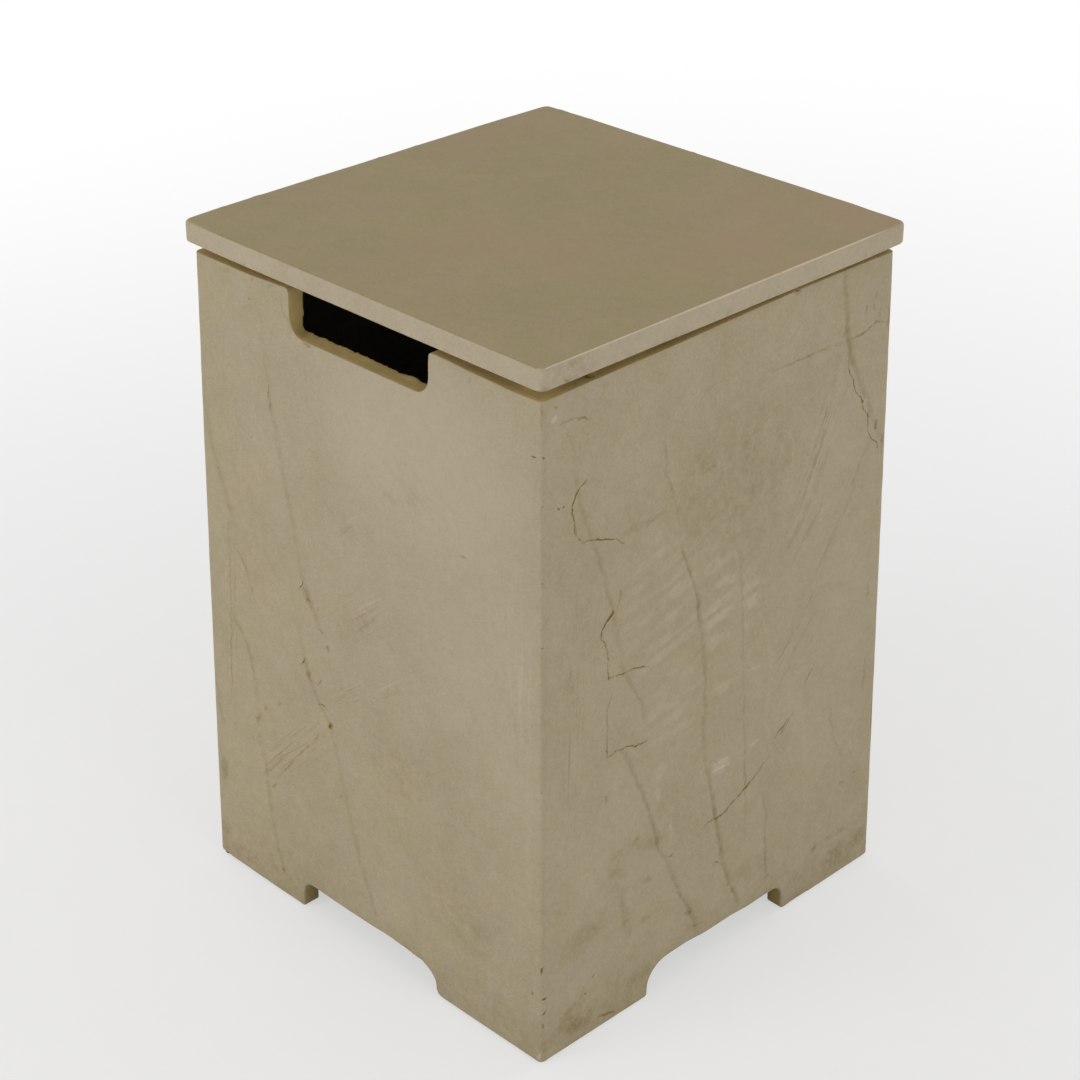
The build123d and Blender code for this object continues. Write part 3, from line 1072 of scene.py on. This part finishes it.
    # pale drips
    vein("pale", 2.1, 2.1, [
        (512, 243, 7), (485, 246.4, 11), (471, 254, 15), (460, 273, 17), (446, 279, 17),
        (418, 279, 14), (394, 274.7, 8)
    ])
    vein("pale", 1.5, 1.5, [(494, 230.4, 11), (457, 230.5, 13)])
    vein("pale", 3.6, 2.1, [
        (405, 195, 10), (377, 212.6, 17), (350, 224.7, 15), (324, 239, 12), (284, 256, 11),
        (247, 261, 11), (208, 258.1, 11), (180, 263, 13), (149, 270.2, 8)
    ])
    vein("pale", 1.8, 2.4, [(190, 304, 8), (140, 307, 13), (78, 310, 8)])
    vein("pale", 2.4, 1.2, [(477, 196, 6), (448, 200, 14), (419, 205, 16), (393, 209, 11)])
    spots(
        "dark",
        (65, 443, 12, 1, -14, 30), (27, 537, 5, 0.8, -58, 50), (47, 534, 3, 1, -45, 40),
        (45, 496, 4, 1.3, 30, 45), (34, 489, 3, 1.8, 60, 40), (384, 430, 6, 2.6, 80, 85),
        (71, 375, 6, 2, 62, 90), (366, 533, 9, 0.9, 86, 50), (376, 535, 5, 1, 84, 34),
        (383, 527, 12, 1.2, 90, 20), (378, 544, 3.6, 2.4, 60, 60), (306, 296, 12, 1.2, 48, 36),
        (278, 264, 16, 1.2, 43, 28), (309, 225, 13, 1.3, 47, 40), (276, 189, 15, 1.4, 38, 44),
        (308, 103, 6, 0.9, -60, 34), (359, 96, 5, 2, 0, 50), (377, 100, 9, 0.9, 3, 30),
        (324, 43, 6, 4, 70, 40), (84, 138, 34, 14, -80, 22), (93, 92, 30, 8, -80, 22),
        (110, 156, 34, 10, -12, 20), (110, 153, 8, 4, 0, 22), (48, 100, 32, 20, 20, 18),
        (118, 117, 9, 4, 0, 18), (115, 81, 7, 4, 0, 20), (36, 36, 26, 9, 25, 26),
        (108, 30, 20, 11, 0, 22), (72, 10, 13, 2, -14, 46), (34, 20, 40, 13, 5, 24),
        (56, 56, 2.4, 1.2, 30, 60), (48, 43, 1.5, 1.3, 0, 100), (70, 217, 4, 2.6, 80, 46),
        (30, 270, 22, 1.8, 90, 9), (30, 230, 12, 1.4, 90, 12), (32, 338, 15, 4, 90, 24),
        (167, 59, 6, 3, -40, 70), (179, 42, 8, 1, -10, 50), (144, 128, 5, 1.6, 0, 36),
        (198, 191, 8, 1, -60, 30), (201, 93, 5, 1.2, -40, 50), (204, 102, 7, 0.8, 80, 34),
        (366, 24, 42, 15, 6, 24), (349, 46, 22, 4, 0, 22), (265, 48, 3.6, 3, 0, 44),
        (176, 462, 34, 5, 4, 8), (110, 440, 30, 5, 2, 22), (215, 438, 95, 88, 0, 17),
        (150, 178, 40, 26, -30, 12), (237, 65, 40, 18, 0, 12), (395, 519, 14, 1.6, 90, 34),
        (397.5, 320, 50, 1.3, 90, 40), (397.5, 210, 44, 1.3, 90, 40), (394.3, 410, 12, 2, 90, 44),
        (392, 355, 8, 1.4, 90, 26), (396, 145, 34, 1, 90, 60), (383, 273, 16, 2.4, 90, 26),
        (383, 196, 24, 2.4, 90, 26), (398, 15, 5, 2, 90, 85), (398, 564, 3, 1.6, 0, 60),
        (2.6, 491, 1.5, 1.1, 30, 44), (3, 528, 1.7, 1.2, 0, 60), (18.6, 484, 1.3, 1.2, 0, 80),
        (23, 484, 1.2, 1.1, 0, 70), (2.1, 431, 1.4, 1, 0, 44), (2.1, 377, 1.5, 1, 40, 50),
        (1.8, 319, 1.2, 1, 0, 40), (2.1, 253, 1.6, 1, 70, 44), (1.8, 90, 4, 1.6, 90, 90),
        (3.5, 64, 2.4, 1.2, 20, 90), (3.5, 51, 2.4, 1.1, 20, 85), (2.1, 39, 3.4, 1.5, 90, 75),
        (14, 563, 3, 1.4, -30, 50), (0.6, 562, 15, 2.6, 90, 34),
    )
    spots(
        "pale",
        (201, 261, 13, 7, 0, 22), (241, 262, 9, 2, 0, 32), (202, 187, 13, 8, 0, 48),
        (242, 189, 9, 2, 0, 46), (131, 280, 9, 9, 0, 20), (131, 214, 10, 10, 0, 22),
        (129, 194, 4, 9, 0, 36), (144, 152, 2.4, 14, 0, 28), (331, 159, 60, 70, 0, 8),
        (13, 555, 4, 3, 0, 60), (350, 449, 60, 60, 0, 8), (60, 208, 50, 120, 0, 6),
        (361, 261, 60, 90, 0, 7), (399, 45, 2, 30, 0, 24),
    )
    wall.brushed(130, 362, 56, 84, 9, 28)
    wall.brushed(194, 340, 26, 62, 12, 40)
    wall.brushed(232, 330, 17, 36, 14, 32)
    wall.brushed(146, 268, 56, 50, 6, 20)
    wall.scratched("pale", 202, 187, 16, 10, 0, 46)
    wall.scratched("pale", 201, 261, 16, 9, 0, 28)
    wall.scratched("dark", 308, 430, 96, 24, 64, 20)
    wall.scratched("dark", 344, 366, 70, 20, 54, 13)
    wall.scratched("dark", 288, 262, 60, 26, 44, 15)
    wall.scratched("dark", 34, 300, 150, 16, 89, 14)
    spots("dry", (330, 320, 90, 250, 0, 18), (10, 572, 9, 1.5, 0, 90))


def back_marks(wall):
    """Veins and stains of the back wall: one long vein that forks, and short trowel strokes."""
    vein, spots = wall.line, wall.spots
    vein("dark", 3.6, 6, [
        (560, 300, 5), (520, 292, 11), (480, 276, 18), (440, 268, 13), (400, 250, 21),
        (360, 236, 15), (320, 230, 22), (280, 214, 24), (240, 204, 15), (200, 184, 21),
        (150, 172, 15), (100, 150, 22), (60, 142, 17), (32, 134, 9)
    ])
    vein("dark", 2.1, 3.6, [
        (318, 232, 7), (296, 248, 23), (270, 256, 18), (230, 276, 23), (190, 284, 14),
        (150, 300, 21), (110, 306, 9)
    ])
    vein("dark", 1.2, 1.2, [
        (398, 252, 72), (392, 262, 96), (386, 268, 72), (372, 270, 60), (362, 276, 36)
    ])
    vein("dark", 3.6, 3.6, [
        (470, 62, 8), (430, 70, 15), (380, 72, 11), (330, 88, 15), (290, 94, 8)
    ])
    vein("dark", 1.4, 1.6, [(208, 205, 36), (222, 201, 84), (238, 202, 72), (252, 197, 24)], True)
    vein("pale", 2.1, 2.1, [(500, 130, 9), (460, 136, 19), (410, 132, 20), (370, 144, 11)])
    spots(
        "dark",
        (236, 318, 6, 2, 60, 70), (204, 243, 7, 1, 50, 80), (150, 110, 5, 3, 40, 50),
        (80, 130, 40, 26, 0, 12), (300, 420, 60, 40, 0, 12), (340, 60, 40, 20, 0, 14),
        (60, 24, 26, 8, 10, 26), (372, 22, 20, 9, -10, 30), (130, 250, 34, 0.9, 44, 26),
        (138, 244, 26, 0.9, 46, 22), (146, 252, 20, 0.8, 40, 20), (320, 200, 24, 0.9, 140, 22),
        (20, 330, 16, 1.2, 90, 28), (390, 260, 30, 1.4, 90, 22), (110, 500, 1.6, 1.3, 0, 70),
        (284, 84, 1.6, 1.3, 0, 80), (52, 210, 3, 1.2, 30, 50), (190, 470, 50, 26, 10, 10),
    )
    spots(
        "pale",
        (120, 400, 70, 90, 0, 10), (290, 160, 60, 90, 0, 8), (200, 60, 50, 20, 0, 8),
    )
    wall.brushed(120, 300, 74, 100, 172, 20)
    wall.brushed(210, 390, 34, 50, 164, 16)


def left_marks(wall):
    """Veins and stains of the left wall: two veins that lean the same way, and a web of strokes."""
    vein, spots = wall.line, wall.spots
    vein("dark", 3.6, 6, [
        (566, 120, 8), (530, 128, 15), (490, 130, 11), (450, 144, 21), (410, 150, 15),
        (370, 166, 21), (340, 172, 27), (300, 176, 15), (250, 192, 21), (200, 200, 13),
        (150, 214, 21), (100, 222, 17), (50, 240, 21), (32, 244, 9)
    ])
    vein("dark", 2.9, 5.4, [
        (430, 290, 6), (390, 300, 15), (340, 304, 11), (290, 320, 21), (240, 326, 15),
        (190, 342, 21), (140, 348, 12), (90, 362, 15), (40, 370, 9)
    ])
    vein("dark", 1.2, 1.2, [(343, 172, 84), (338, 163, 96), (328, 158, 72), (310, 160, 54)])
    vein("dark", 1.2, 1.2, [(176, 300, 48), (190, 296, 84), (204, 295, 60), (214, 290, 24)], True)
    vein("dark", 4.3, 4.3, [(520, 260, 6), (480, 276, 15), (440, 300, 17), (400, 330, 8)])
    vein("pale", 2.4, 2.1, [(300, 90, 9), (260, 96, 19), (200, 92, 20), (150, 102, 10)])
    spots(
        "dark",
        (172, 340, 5, 2.4, 60, 80), (326, 240, 4, 2.4, 50, 50), (90, 430, 50, 40, 0, 12),
        (260, 120, 50, 40, 0, 12), (40, 26, 26, 8, 6, 30), (356, 20, 26, 8, -8, 26),
        (70, 240, 30, 0.9, 50, 26), (78, 236, 24, 0.8, 48, 24), (230, 330, 36, 0.9, 38, 22),
        (240, 322, 26, 0.9, 40, 18), (12, 200, 26, 1.4, 90, 28), (388, 420, 22, 1.4, 90, 30),
        (300, 500, 1.6, 1.3, 0, 70), (120, 60, 1.8, 1.4, 0, 70), (300, 44, 8, 4, 20, 36),
    )
    spots(
        "pale",
        (300, 440, 70, 70, 0, 12), (120, 160, 60, 80, 0, 10), (340, 120, 40, 60, 0, 8),
    )
    wall.brushed(236, 400, 84, 44, 12, 22)
    wall.brushed(290, 280, 30, 64, 6, 16)


MARKS = {"front": front_marks, "right": right_marks, "back": back_marks, "left": left_marks}


def shade(tone, share):
    """A colour multiplied by a share."""
    return tuple(min(1.0, part * share) for part in tone)


def mottled(finish, tone, damp, spread, share, scale=9, dry=0.0):
    """Clouds and grain of equal weight at every size: the tone made darker and lighter by spread,
    and up to a share of the damp tone in it, less where it is dry. Returns the colour and the
    clouds."""
    cloud = finish.noise(scale, 7, 0.93)
    hue = finish.noise(2.2 * scale, 7, 1.0, finish.stretched((1, 1, 1), (0.4, 0.3, 0.2)))
    grain = finish.noise(1, 2, 0.7, finish.stretched((900, 360, 360), (0, 0.7, 0.7)))
    mixed = finish.number("MULTIPLY_ADD", grain, 0.8, finish.number("ADD", cloud, -0.4))
    plain, wet = (
        finish.blend(mixed, shade(each, 1 - spread), shade(each, 1 + spread))
        for each in (tone, damp)
    )
    wetness = finish.step(hue, 0.32, 0.7, 0, share)
    wetness = finish.number("MULTIPLY", wetness, finish.number("SUBTRACT", 1, dry, clamp=True))
    return finish.blend(wetness, plain, wet), cloud


def wall_finish(colours, name):
    """Cast concrete of one outer wall: mottled, with the marks of this wall broken up by specks,
    and a damp band along the feet."""
    wall = Wall(f"concrete_{name}")
    MARKS[name](wall)
    dry = wall.totals["dry"]
    tone, cloud = mottled(wall, colours.wall, colours.olive, 0.22, 0.6, dry=dry)
    speckle = wall.noise(130, 4, 0.7)
    patches = wall.noise(60, 5, 0.8)
    damp = wall.step(wall.number("MULTIPLY_ADD", cloud, 0.12, wall.height), 0.13, 0.05, 0, 0.16)
    smear = wall.number("MULTIPLY", wall.totals["smear"], wall.step(patches, 0.38, 0.66, 0.3, 1.3))
    dark = wall.number("ADD", wall.number("ADD", wall.totals["dark"], smear), damp)
    dark = wall.number("MULTIPLY", dark, wall.step(speckle, 0.28, 0.68, 0.3, 1.6))
    pale = wall.number("MULTIPLY", wall.totals["pale"], wall.step(speckle, 0.8, 0.3, 0.4, 1.3))
    pale = wall.number("MULTIPLY_ADD", dry, 0.1, pale, clamp=True)
    tone = wall.blend(pale, tone, colours.pale)
    tone = wall.blend(wall.number("MULTIPLY", dark, 0.9, clamp=True), tone, colours.stain_and_shade)
    wall.bump(speckle, 0.0006)
    return wall.done(tone, wall.step(speckle, 0.2, 0.8, 0.74, 0.86))


def rim_finish(colours):
    """Casting skin of the rim and of the openings' reveals: olive and lighter than the walls as
    painted bounce light for the shade under the lid, with dark pits, and darker in the arches as
    painted shade, from 60 down to 30 mm above the ground and lower."""
    rim = Finish("concrete_rim")
    cloud = rim.noise(30, 6, 0.8)
    pits = rim.noise(420, 3, 0.6)
    # The rim colour is lighter than the walls' as painted bounce light for the shade under the lid
    tone = rim.blend(cloud, shade(colours.rim, 0.72), shade(colours.rim, 1.28))
    tone = rim.blend(rim.step(pits, 0.62, 0.75, 0, 0.5), tone, colours.stain_and_shade)
    # Painted shade: the arches blend towards the dark inside colour from 60 down to 30 mm above the
    # ground
    height = rim.add("SeparateXYZ", rim.place, output=2)
    tone = rim.blend(rim.step(height, 0.06, 0.03, 0, 0.4), tone, colours.inside)
    rim.bump(cloud, 0.0012)
    return rim.done(tone, rim.step(cloud, 0.2, 0.8, 0.8, 0.95))


def shaded_inside_finish(colours):
    """Raw concrete of the inner walls, rough, and darkened as painted shade for the closed body."""
    finish = Finish("concrete_inside")
    cloud = finish.noise(14, 6, 0.75)
    grain = finish.noise(240, 5, 0.7)
    # The dark tone is painted shade for the inside of the closed body
    tone = finish.blend(cloud, shade(colours.inside, 0.5), shade(colours.inside, 1.5))
    finish.bump(grain, 0.0015)
    return finish.done(tone, finish.step(grain, 0.2, 0.8, 0.8, 0.95))


def lid_finish(colours):
    """Cast concrete of the lid: a top darker and more olive than the sides, its darkness partly
    painted shade; lighter sides with grime along their lower edge and a smudge near the right one's
    front end; a pale line along the arris on the right, partly wear and partly painted highlight;
    and a dark line of painted shade along the arris in front."""
    lid = Finish("concrete_lid")
    top, _ = mottled(lid, colours.lid, colours.lid_damp, 0.17, 0.8, 4)
    warm = lid.noise(4, 3, 0.6, lid.stretched((1, 1, 1), (0, 0, 0.6)))
    top = lid.blend(lid.step(warm, 0.49, 0.78), top, colours.lid_warm)
    side, _ = mottled(lid, colours.lid_side, colours.olive, 0.22, 0.35)
    x, y, z = (lid.add("SeparateXYZ", lid.place, output=axis) for axis in range(3))
    far_x, far_y = (lid.number("ABSOLUTE", each) for each in (x, y))
    far = lid.number("MAXIMUM", far_x, far_y)
    edge = lid_high.x
    # The top takes the darker lid colour, partly painted shade, and the sides the lighter side
    # colour
    at_side = lid.step(z, lid_high.z - 0.4 * MM, lid_high.z - 1.1 * MM)
    tone = lid.blend(at_side, top, side)

    speckle = lid.noise(150, 4, 0.7)
    at_arris = lid.number(
        "MULTIPLY",
        lid.step(far, edge - 1.2 * MM, edge - 0.6 * MM),
        lid.step(z, lid_high.z - 1.2 * MM, lid_high.z - 0.5 * MM),
    )
    broken = lid.step(speckle, 0.25, 0.45)
    to_right = lid.step(lid.number("SUBTRACT", x, far_y), -2 * MM, 1 * MM)
    to_front = lid.step(lid.number("ADD", y, far_x), 2 * MM, -1 * MM)
    # A broken pale line along the arris on the right: partly wear and partly painted highlight
    worn = lid.number("MULTIPLY", at_arris, lid.number("MULTIPLY", broken, to_right))
    # A dark line of painted shade along the arris in front, in the stain colour
    front_arris_shade = lid.number("MULTIPLY", at_arris, to_front)
    tone = lid.blend(worn, tone, shade(colours.pale, 1.2))
    tone = lid.blend(lid.number("MULTIPLY", front_arris_shade, 0.3), tone, colours.stain_and_shade)

    low = lid.step(z, lid_low.z + 7 * MM, lid_low.z + 1 * MM, 0, 0.35)
    low = lid.number("MULTIPLY", low, lid.step(speckle, 0.5, 0.75))
    pits = lid.step(lid.noise(700, 2, 0.5), 0.7, 0.8, 0, 0.3)
    smudged = (edge, 30 * MM - edge, lid_low.z + 5 * MM)
    apart = lid.add("VectorMath", lid.place, smudged, operation="DISTANCE", output=1)
    near = lid.step(apart, 36 * MM, 0, 0, 0.34)
    low = lid.number("ADD", low, lid.number("MULTIPLY", near, lid.step(speckle, 0.3, 0.7)))
    dark = lid.number("ADD", lid.number("MULTIPLY", low, at_side), pits)
    tone = lid.blend(dark, tone, colours.stain_and_shade)
    lid.bump(speckle, 0.0003)
    return lid.done(tone, lid.step(speckle, 0.2, 0.8, 0.7, 0.82))


def plain_finish(name, tone, roughness, metallic=0.0):
    """A colour that varies a little, with a fine grain."""
    finish = Finish(name)
    grain = finish.noise(300, 3, 0.6)
    finish.surface.inputs["Metallic"].default_value = metallic
    finish.bump(grain, 0.1 * MM)
    return finish.done(finish.blend(grain, shade(tone, 0.7), shade(tone, 1.15)), roughness)


# ---------------------------------------------------------------- operators


class TANKCOVER_OT_casting(bpy.types.Operator):
    """Make the cast body, with its rim, hand-holds and arches."""

    bl_idname = "tank_cover.casting"
    bl_label = "Cast Body"

    def execute(self, context):
        colours = context.scene.cover_colours
        piece = make_casting(context.scene.casting_sizes)
        for wall in WALLS:
            piece.data.materials.append(wall_finish(colours, wall))
        piece.data.materials.append(rim_finish(colours))
        piece.data.materials.append(shaded_inside_finish(colours))
        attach(piece, "body")
        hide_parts("cover_body")
        return {"FINISHED"}


class TANKCOVER_OT_slab(bpy.types.Operator):
    """Make the lid slab."""

    bl_idname = "tank_cover.slab"
    bl_label = "Lid Slab"

    def execute(self, context):
        piece = make_slab(context.scene.slab_sizes)
        piece.data.materials.append(lid_finish(context.scene.cover_colours))
        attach(piece, "lid_assembly")
        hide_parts("lid")
        return {"FINISHED"}


class TANKCOVER_OT_rubber(bpy.types.Operator):
    """Make the foot pads and the bumpers under the lid."""

    bl_idname = "tank_cover.rubber"
    bl_label = "Pads and Bumpers"

    def execute(self, context):
        colours = context.scene.cover_colours
        pads = plain_finish("pad_rubber", colours.rubber, 0.8)
        bumpers = plain_finish("bumper_rubber", colours.bumper, 0.75)
        for corner in CORNERS:
            low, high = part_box(f"foot_pad_{corner}")
            pad = puck(f"pad_{corner}", low, high, low.z, bulge=0.03, rounding=0.25)
            pad.data.materials.append(pads)
            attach(pad, "body")
            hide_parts(f"foot_pad_{corner}")
            low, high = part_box(f"lid_bumper_{corner}")
            # the right wall runs from front to back, and the left one from back to front
            wall, way = (1, 1) if low.x > 0 else (3, -1)
            across = way * (low.y + high.y) / 2
            place = wall + (across / body_high.x + 1) / 2
            floor = low.z + float(rise_at(RIM_RISE, place))
            bumper = puck(f"bumper_{corner}", low, high, floor, bulge=0.04, rounding=0.07)
            bumper.data.materials.append(bumpers)
            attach(bumper, "lid_assembly")
            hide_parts(f"lid_bumper_{corner}")
        return {"FINISHED"}


class TANKCOVER_OT_fittings(bpy.types.Operator):
    """Finish the locator blocks, their screws and the inserts, whose shapes the frame gives."""

    bl_idname = "tank_cover.fittings"
    bl_label = "Locators, Screws and Inserts"

    def execute(self, context):
        colours = context.scene.cover_colours
        finishes = {
            "lid_inserts": plain_finish("insert_brass", colours.brass, 0.35, 1.0),
            "locator_screws": plain_finish("screw_steel", colours.steel, 0.3, 1.0),
        }
        block = plain_finish("locator_plastic", colours.plastic, 0.5)
        finishes.update({f"lid_locator_{corner}": block for corner in CORNERS})
        for node, finish in finishes.items():
            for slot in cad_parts[node].material_slots:
                slot.material = finish
        return {"FINISHED"}


# Lamps: name, place in metres, width in metres, and the setting that holds its watts
LAMPS = (
    ("key", (-1.0, -2.8, 1.05), 1.2, "key"),
    ("fill", (2.8, -0.3, 1.05), 1.2, "fill"),
    ("rear_left", (-2.7, 0.9, 0.5), 0.8, "rim"),
    ("rear_right", (0.6, 2.8, 0.5), 0.8, "rim"),
)
# What the camera looks at, in metres
AIM = Vector((-2.3, -2.4, 317)) * MM
# Rays that see the surroundings white
RAYS = ("Camera", "Glossy", "Transmission")
# Radii of the floor's rings in metres, and the steps round them
FLOOR_RINGS = np.array([0.3, 0.7, 1.2, 2, 3.5, 6, 12])
FLOOR_AROUND = 64
# Distances from the middle in metres between which the floor fades into the surroundings
FLOOR_FADE = (0.35, 2.5)


class TANKCOVER_OT_studio(bpy.types.Operator):
    """Make the floor, the lamps, the surroundings and the camera."""

    bl_idname = "tank_cover.studio"
    bl_label = "Studio"

    def execute(self, context):
        studio = context.scene.cover_studio
        make_floor()
        make_surroundings(context.scene, studio)
        for name, place, width, watts in LAMPS:
            make_lamp(name, place, width, getattr(studio, watts))
        make_camera(context.scene, studio)
        return {"FINISHED"}


def make_floor():
    """A disc of pale floor that fades into the white surroundings."""
    grid = FLOOR_RINGS[:, None, None] * circle(FLOOR_AROUND)
    faces = with_poles(*grid.shape[:2], ends=1, step=-1)
    floor = new_piece("floor", grid, faces, ((0, 0, 0),))

    finish = Finish("floor")
    seen, glossy, through = (finish.add("LightPath", output=f"Is {ray} Ray") for ray in RAYS)
    seen = finish.number("ADD", finish.number("ADD", seen, glossy), through, clamp=True)
    apart = finish.add("VectorMath", finish.place, operation="LENGTH", output="Value")
    far = finish.step(apart, *FLOOR_FADE, 0.55, 1)
    glow = finish.add("Emission", (1, 1, 1, 1), 1)
    mix = finish.nodes.new("ShaderNodeMixShader")
    finish.links.new(finish.number("MULTIPLY", seen, far), mix.inputs[0])
    finish.links.new(finish.surface.outputs[0], mix.inputs[1])
    finish.links.new(glow, mix.inputs[2])
    finish.links.new(mix.outputs[0], finish.nodes["Material Output"].inputs["Surface"])
    grain = finish.noise(30, 3, 0.5)
    finish.done(finish.blend(grain, (0.80, 0.80, 0.79), (0.84, 0.84, 0.83)), 0.9)
    floor.data.materials.append(finish.material)


def make_surroundings(scene, studio):
    """Light from all around, and white where the surroundings are seen or mirrored."""
    world = bpy.data.worlds.new("studio")
    scene.world = world
    world.use_nodes = True
    nodes = world.node_tree.nodes
    links = world.node_tree.links
    paths = nodes.new("ShaderNodeLightPath")
    seen, *others = (paths.outputs[f"Is {ray} Ray"] for ray in RAYS)
    for ray in others:
        add = nodes.new("ShaderNodeMath")
        add.use_clamp = True
        links.new(seen, add.inputs[0])
        links.new(ray, add.inputs[1])
        seen = add.outputs[0]
    strength = nodes.new("ShaderNodeMapRange")
    links.new(seen, strength.inputs["Value"])
    strength.inputs["To Min"].default_value = studio.ambient
    background = nodes["Background"]
    background.inputs["Color"].default_value = (1, 1, 1, 1)
    links.new(strength.outputs[0], background.inputs["Strength"])


def make_lamp(name, place, width, watts):
    """A square lamp that faces the middle of the cover."""
    lamp = bpy.data.lights.new(name, "AREA")
    lamp.energy = watts
    lamp.size = width
    holder = bpy.data.objects.new(name, lamp)
    holder.location = place
    way = Vector((0, 0, lid_high.z / 2)) - holder.location
    holder.rotation_euler = way.to_track_quat("-Z", "Y").to_euler()
    holder.visible_camera = False
    bpy.context.scene.collection.objects.link(holder)


def make_camera(scene, studio):
    """The camera at its azimuth and elevation round its aim."""
    level = math.cos(studio.elevation)
    back = Vector(
        (
            math.sin(studio.azimuth) * level,
            -math.cos(studio.azimuth) * level,
            math.sin(studio.elevation),
        )
    )
    camera = bpy.data.cameras.new("camera")
    camera.lens = studio.lens
    holder = bpy.data.objects.new("camera", camera)
    holder.location = AIM + back * studio.distance
    holder.rotation_euler = (-back).to_track_quat("-Z", "Y").to_euler()
    scene.collection.objects.link(holder)
    scene.camera = holder


# ---------------------------------------------------------------- add-on

OPERATORS = (
    TANKCOVER_OT_casting,
    TANKCOVER_OT_slab,
    TANKCOVER_OT_rubber,
    TANKCOVER_OT_fittings,
    TANKCOVER_OT_studio,
)


class TANKCOVER_PT_panel(bpy.types.Panel):
    """Lists the pieces of the cover."""

    bl_label = "Tank Cover"
    bl_space_type = "VIEW_3D"
    bl_region_type = "UI"
    bl_category = "Tank Cover"

    def draw(self, context):
        for operator in OPERATORS:
            self.layout.operator(operator.bl_idname)
        for name in SETTINGS:
            group = getattr(context.scene, name)
            box = self.layout.box()
            for key in group.bl_rna.properties.keys():
                if key not in ("rna_type", "name"):
                    box.prop(group, key)


SETTINGS = {
    "casting_sizes": CastingSizes,
    "slab_sizes": SlabSizes,
    "cover_colours": Colours,
    "cover_studio": Studio,
}
CLASSES = (*SETTINGS.values(), *OPERATORS, TANKCOVER_PT_panel)


def register():
    """Registers the classes and gives the scene its settings."""
    for each in CLASSES:
        bpy.utils.register_class(each)
    for name, group in SETTINGS.items():
        setattr(bpy.types.Scene, name, PointerProperty(type=group))


def unregister():
    """Takes back what register() did."""
    for name in SETTINGS:
        delattr(bpy.types.Scene, name)
    for each in reversed(CLASSES):
        bpy.utils.unregister_class(each)


def main():
    """Makes every piece and the stage."""
    register()
    bpy.context.scene.view_settings.view_transform = "Standard"
    bpy.ops.tank_cover.casting()
    bpy.ops.tank_cover.slab()
    bpy.ops.tank_cover.rubber()
    bpy.ops.tank_cover.fittings()
    bpy.ops.tank_cover.studio()


if __name__ == "__main__":
    main()
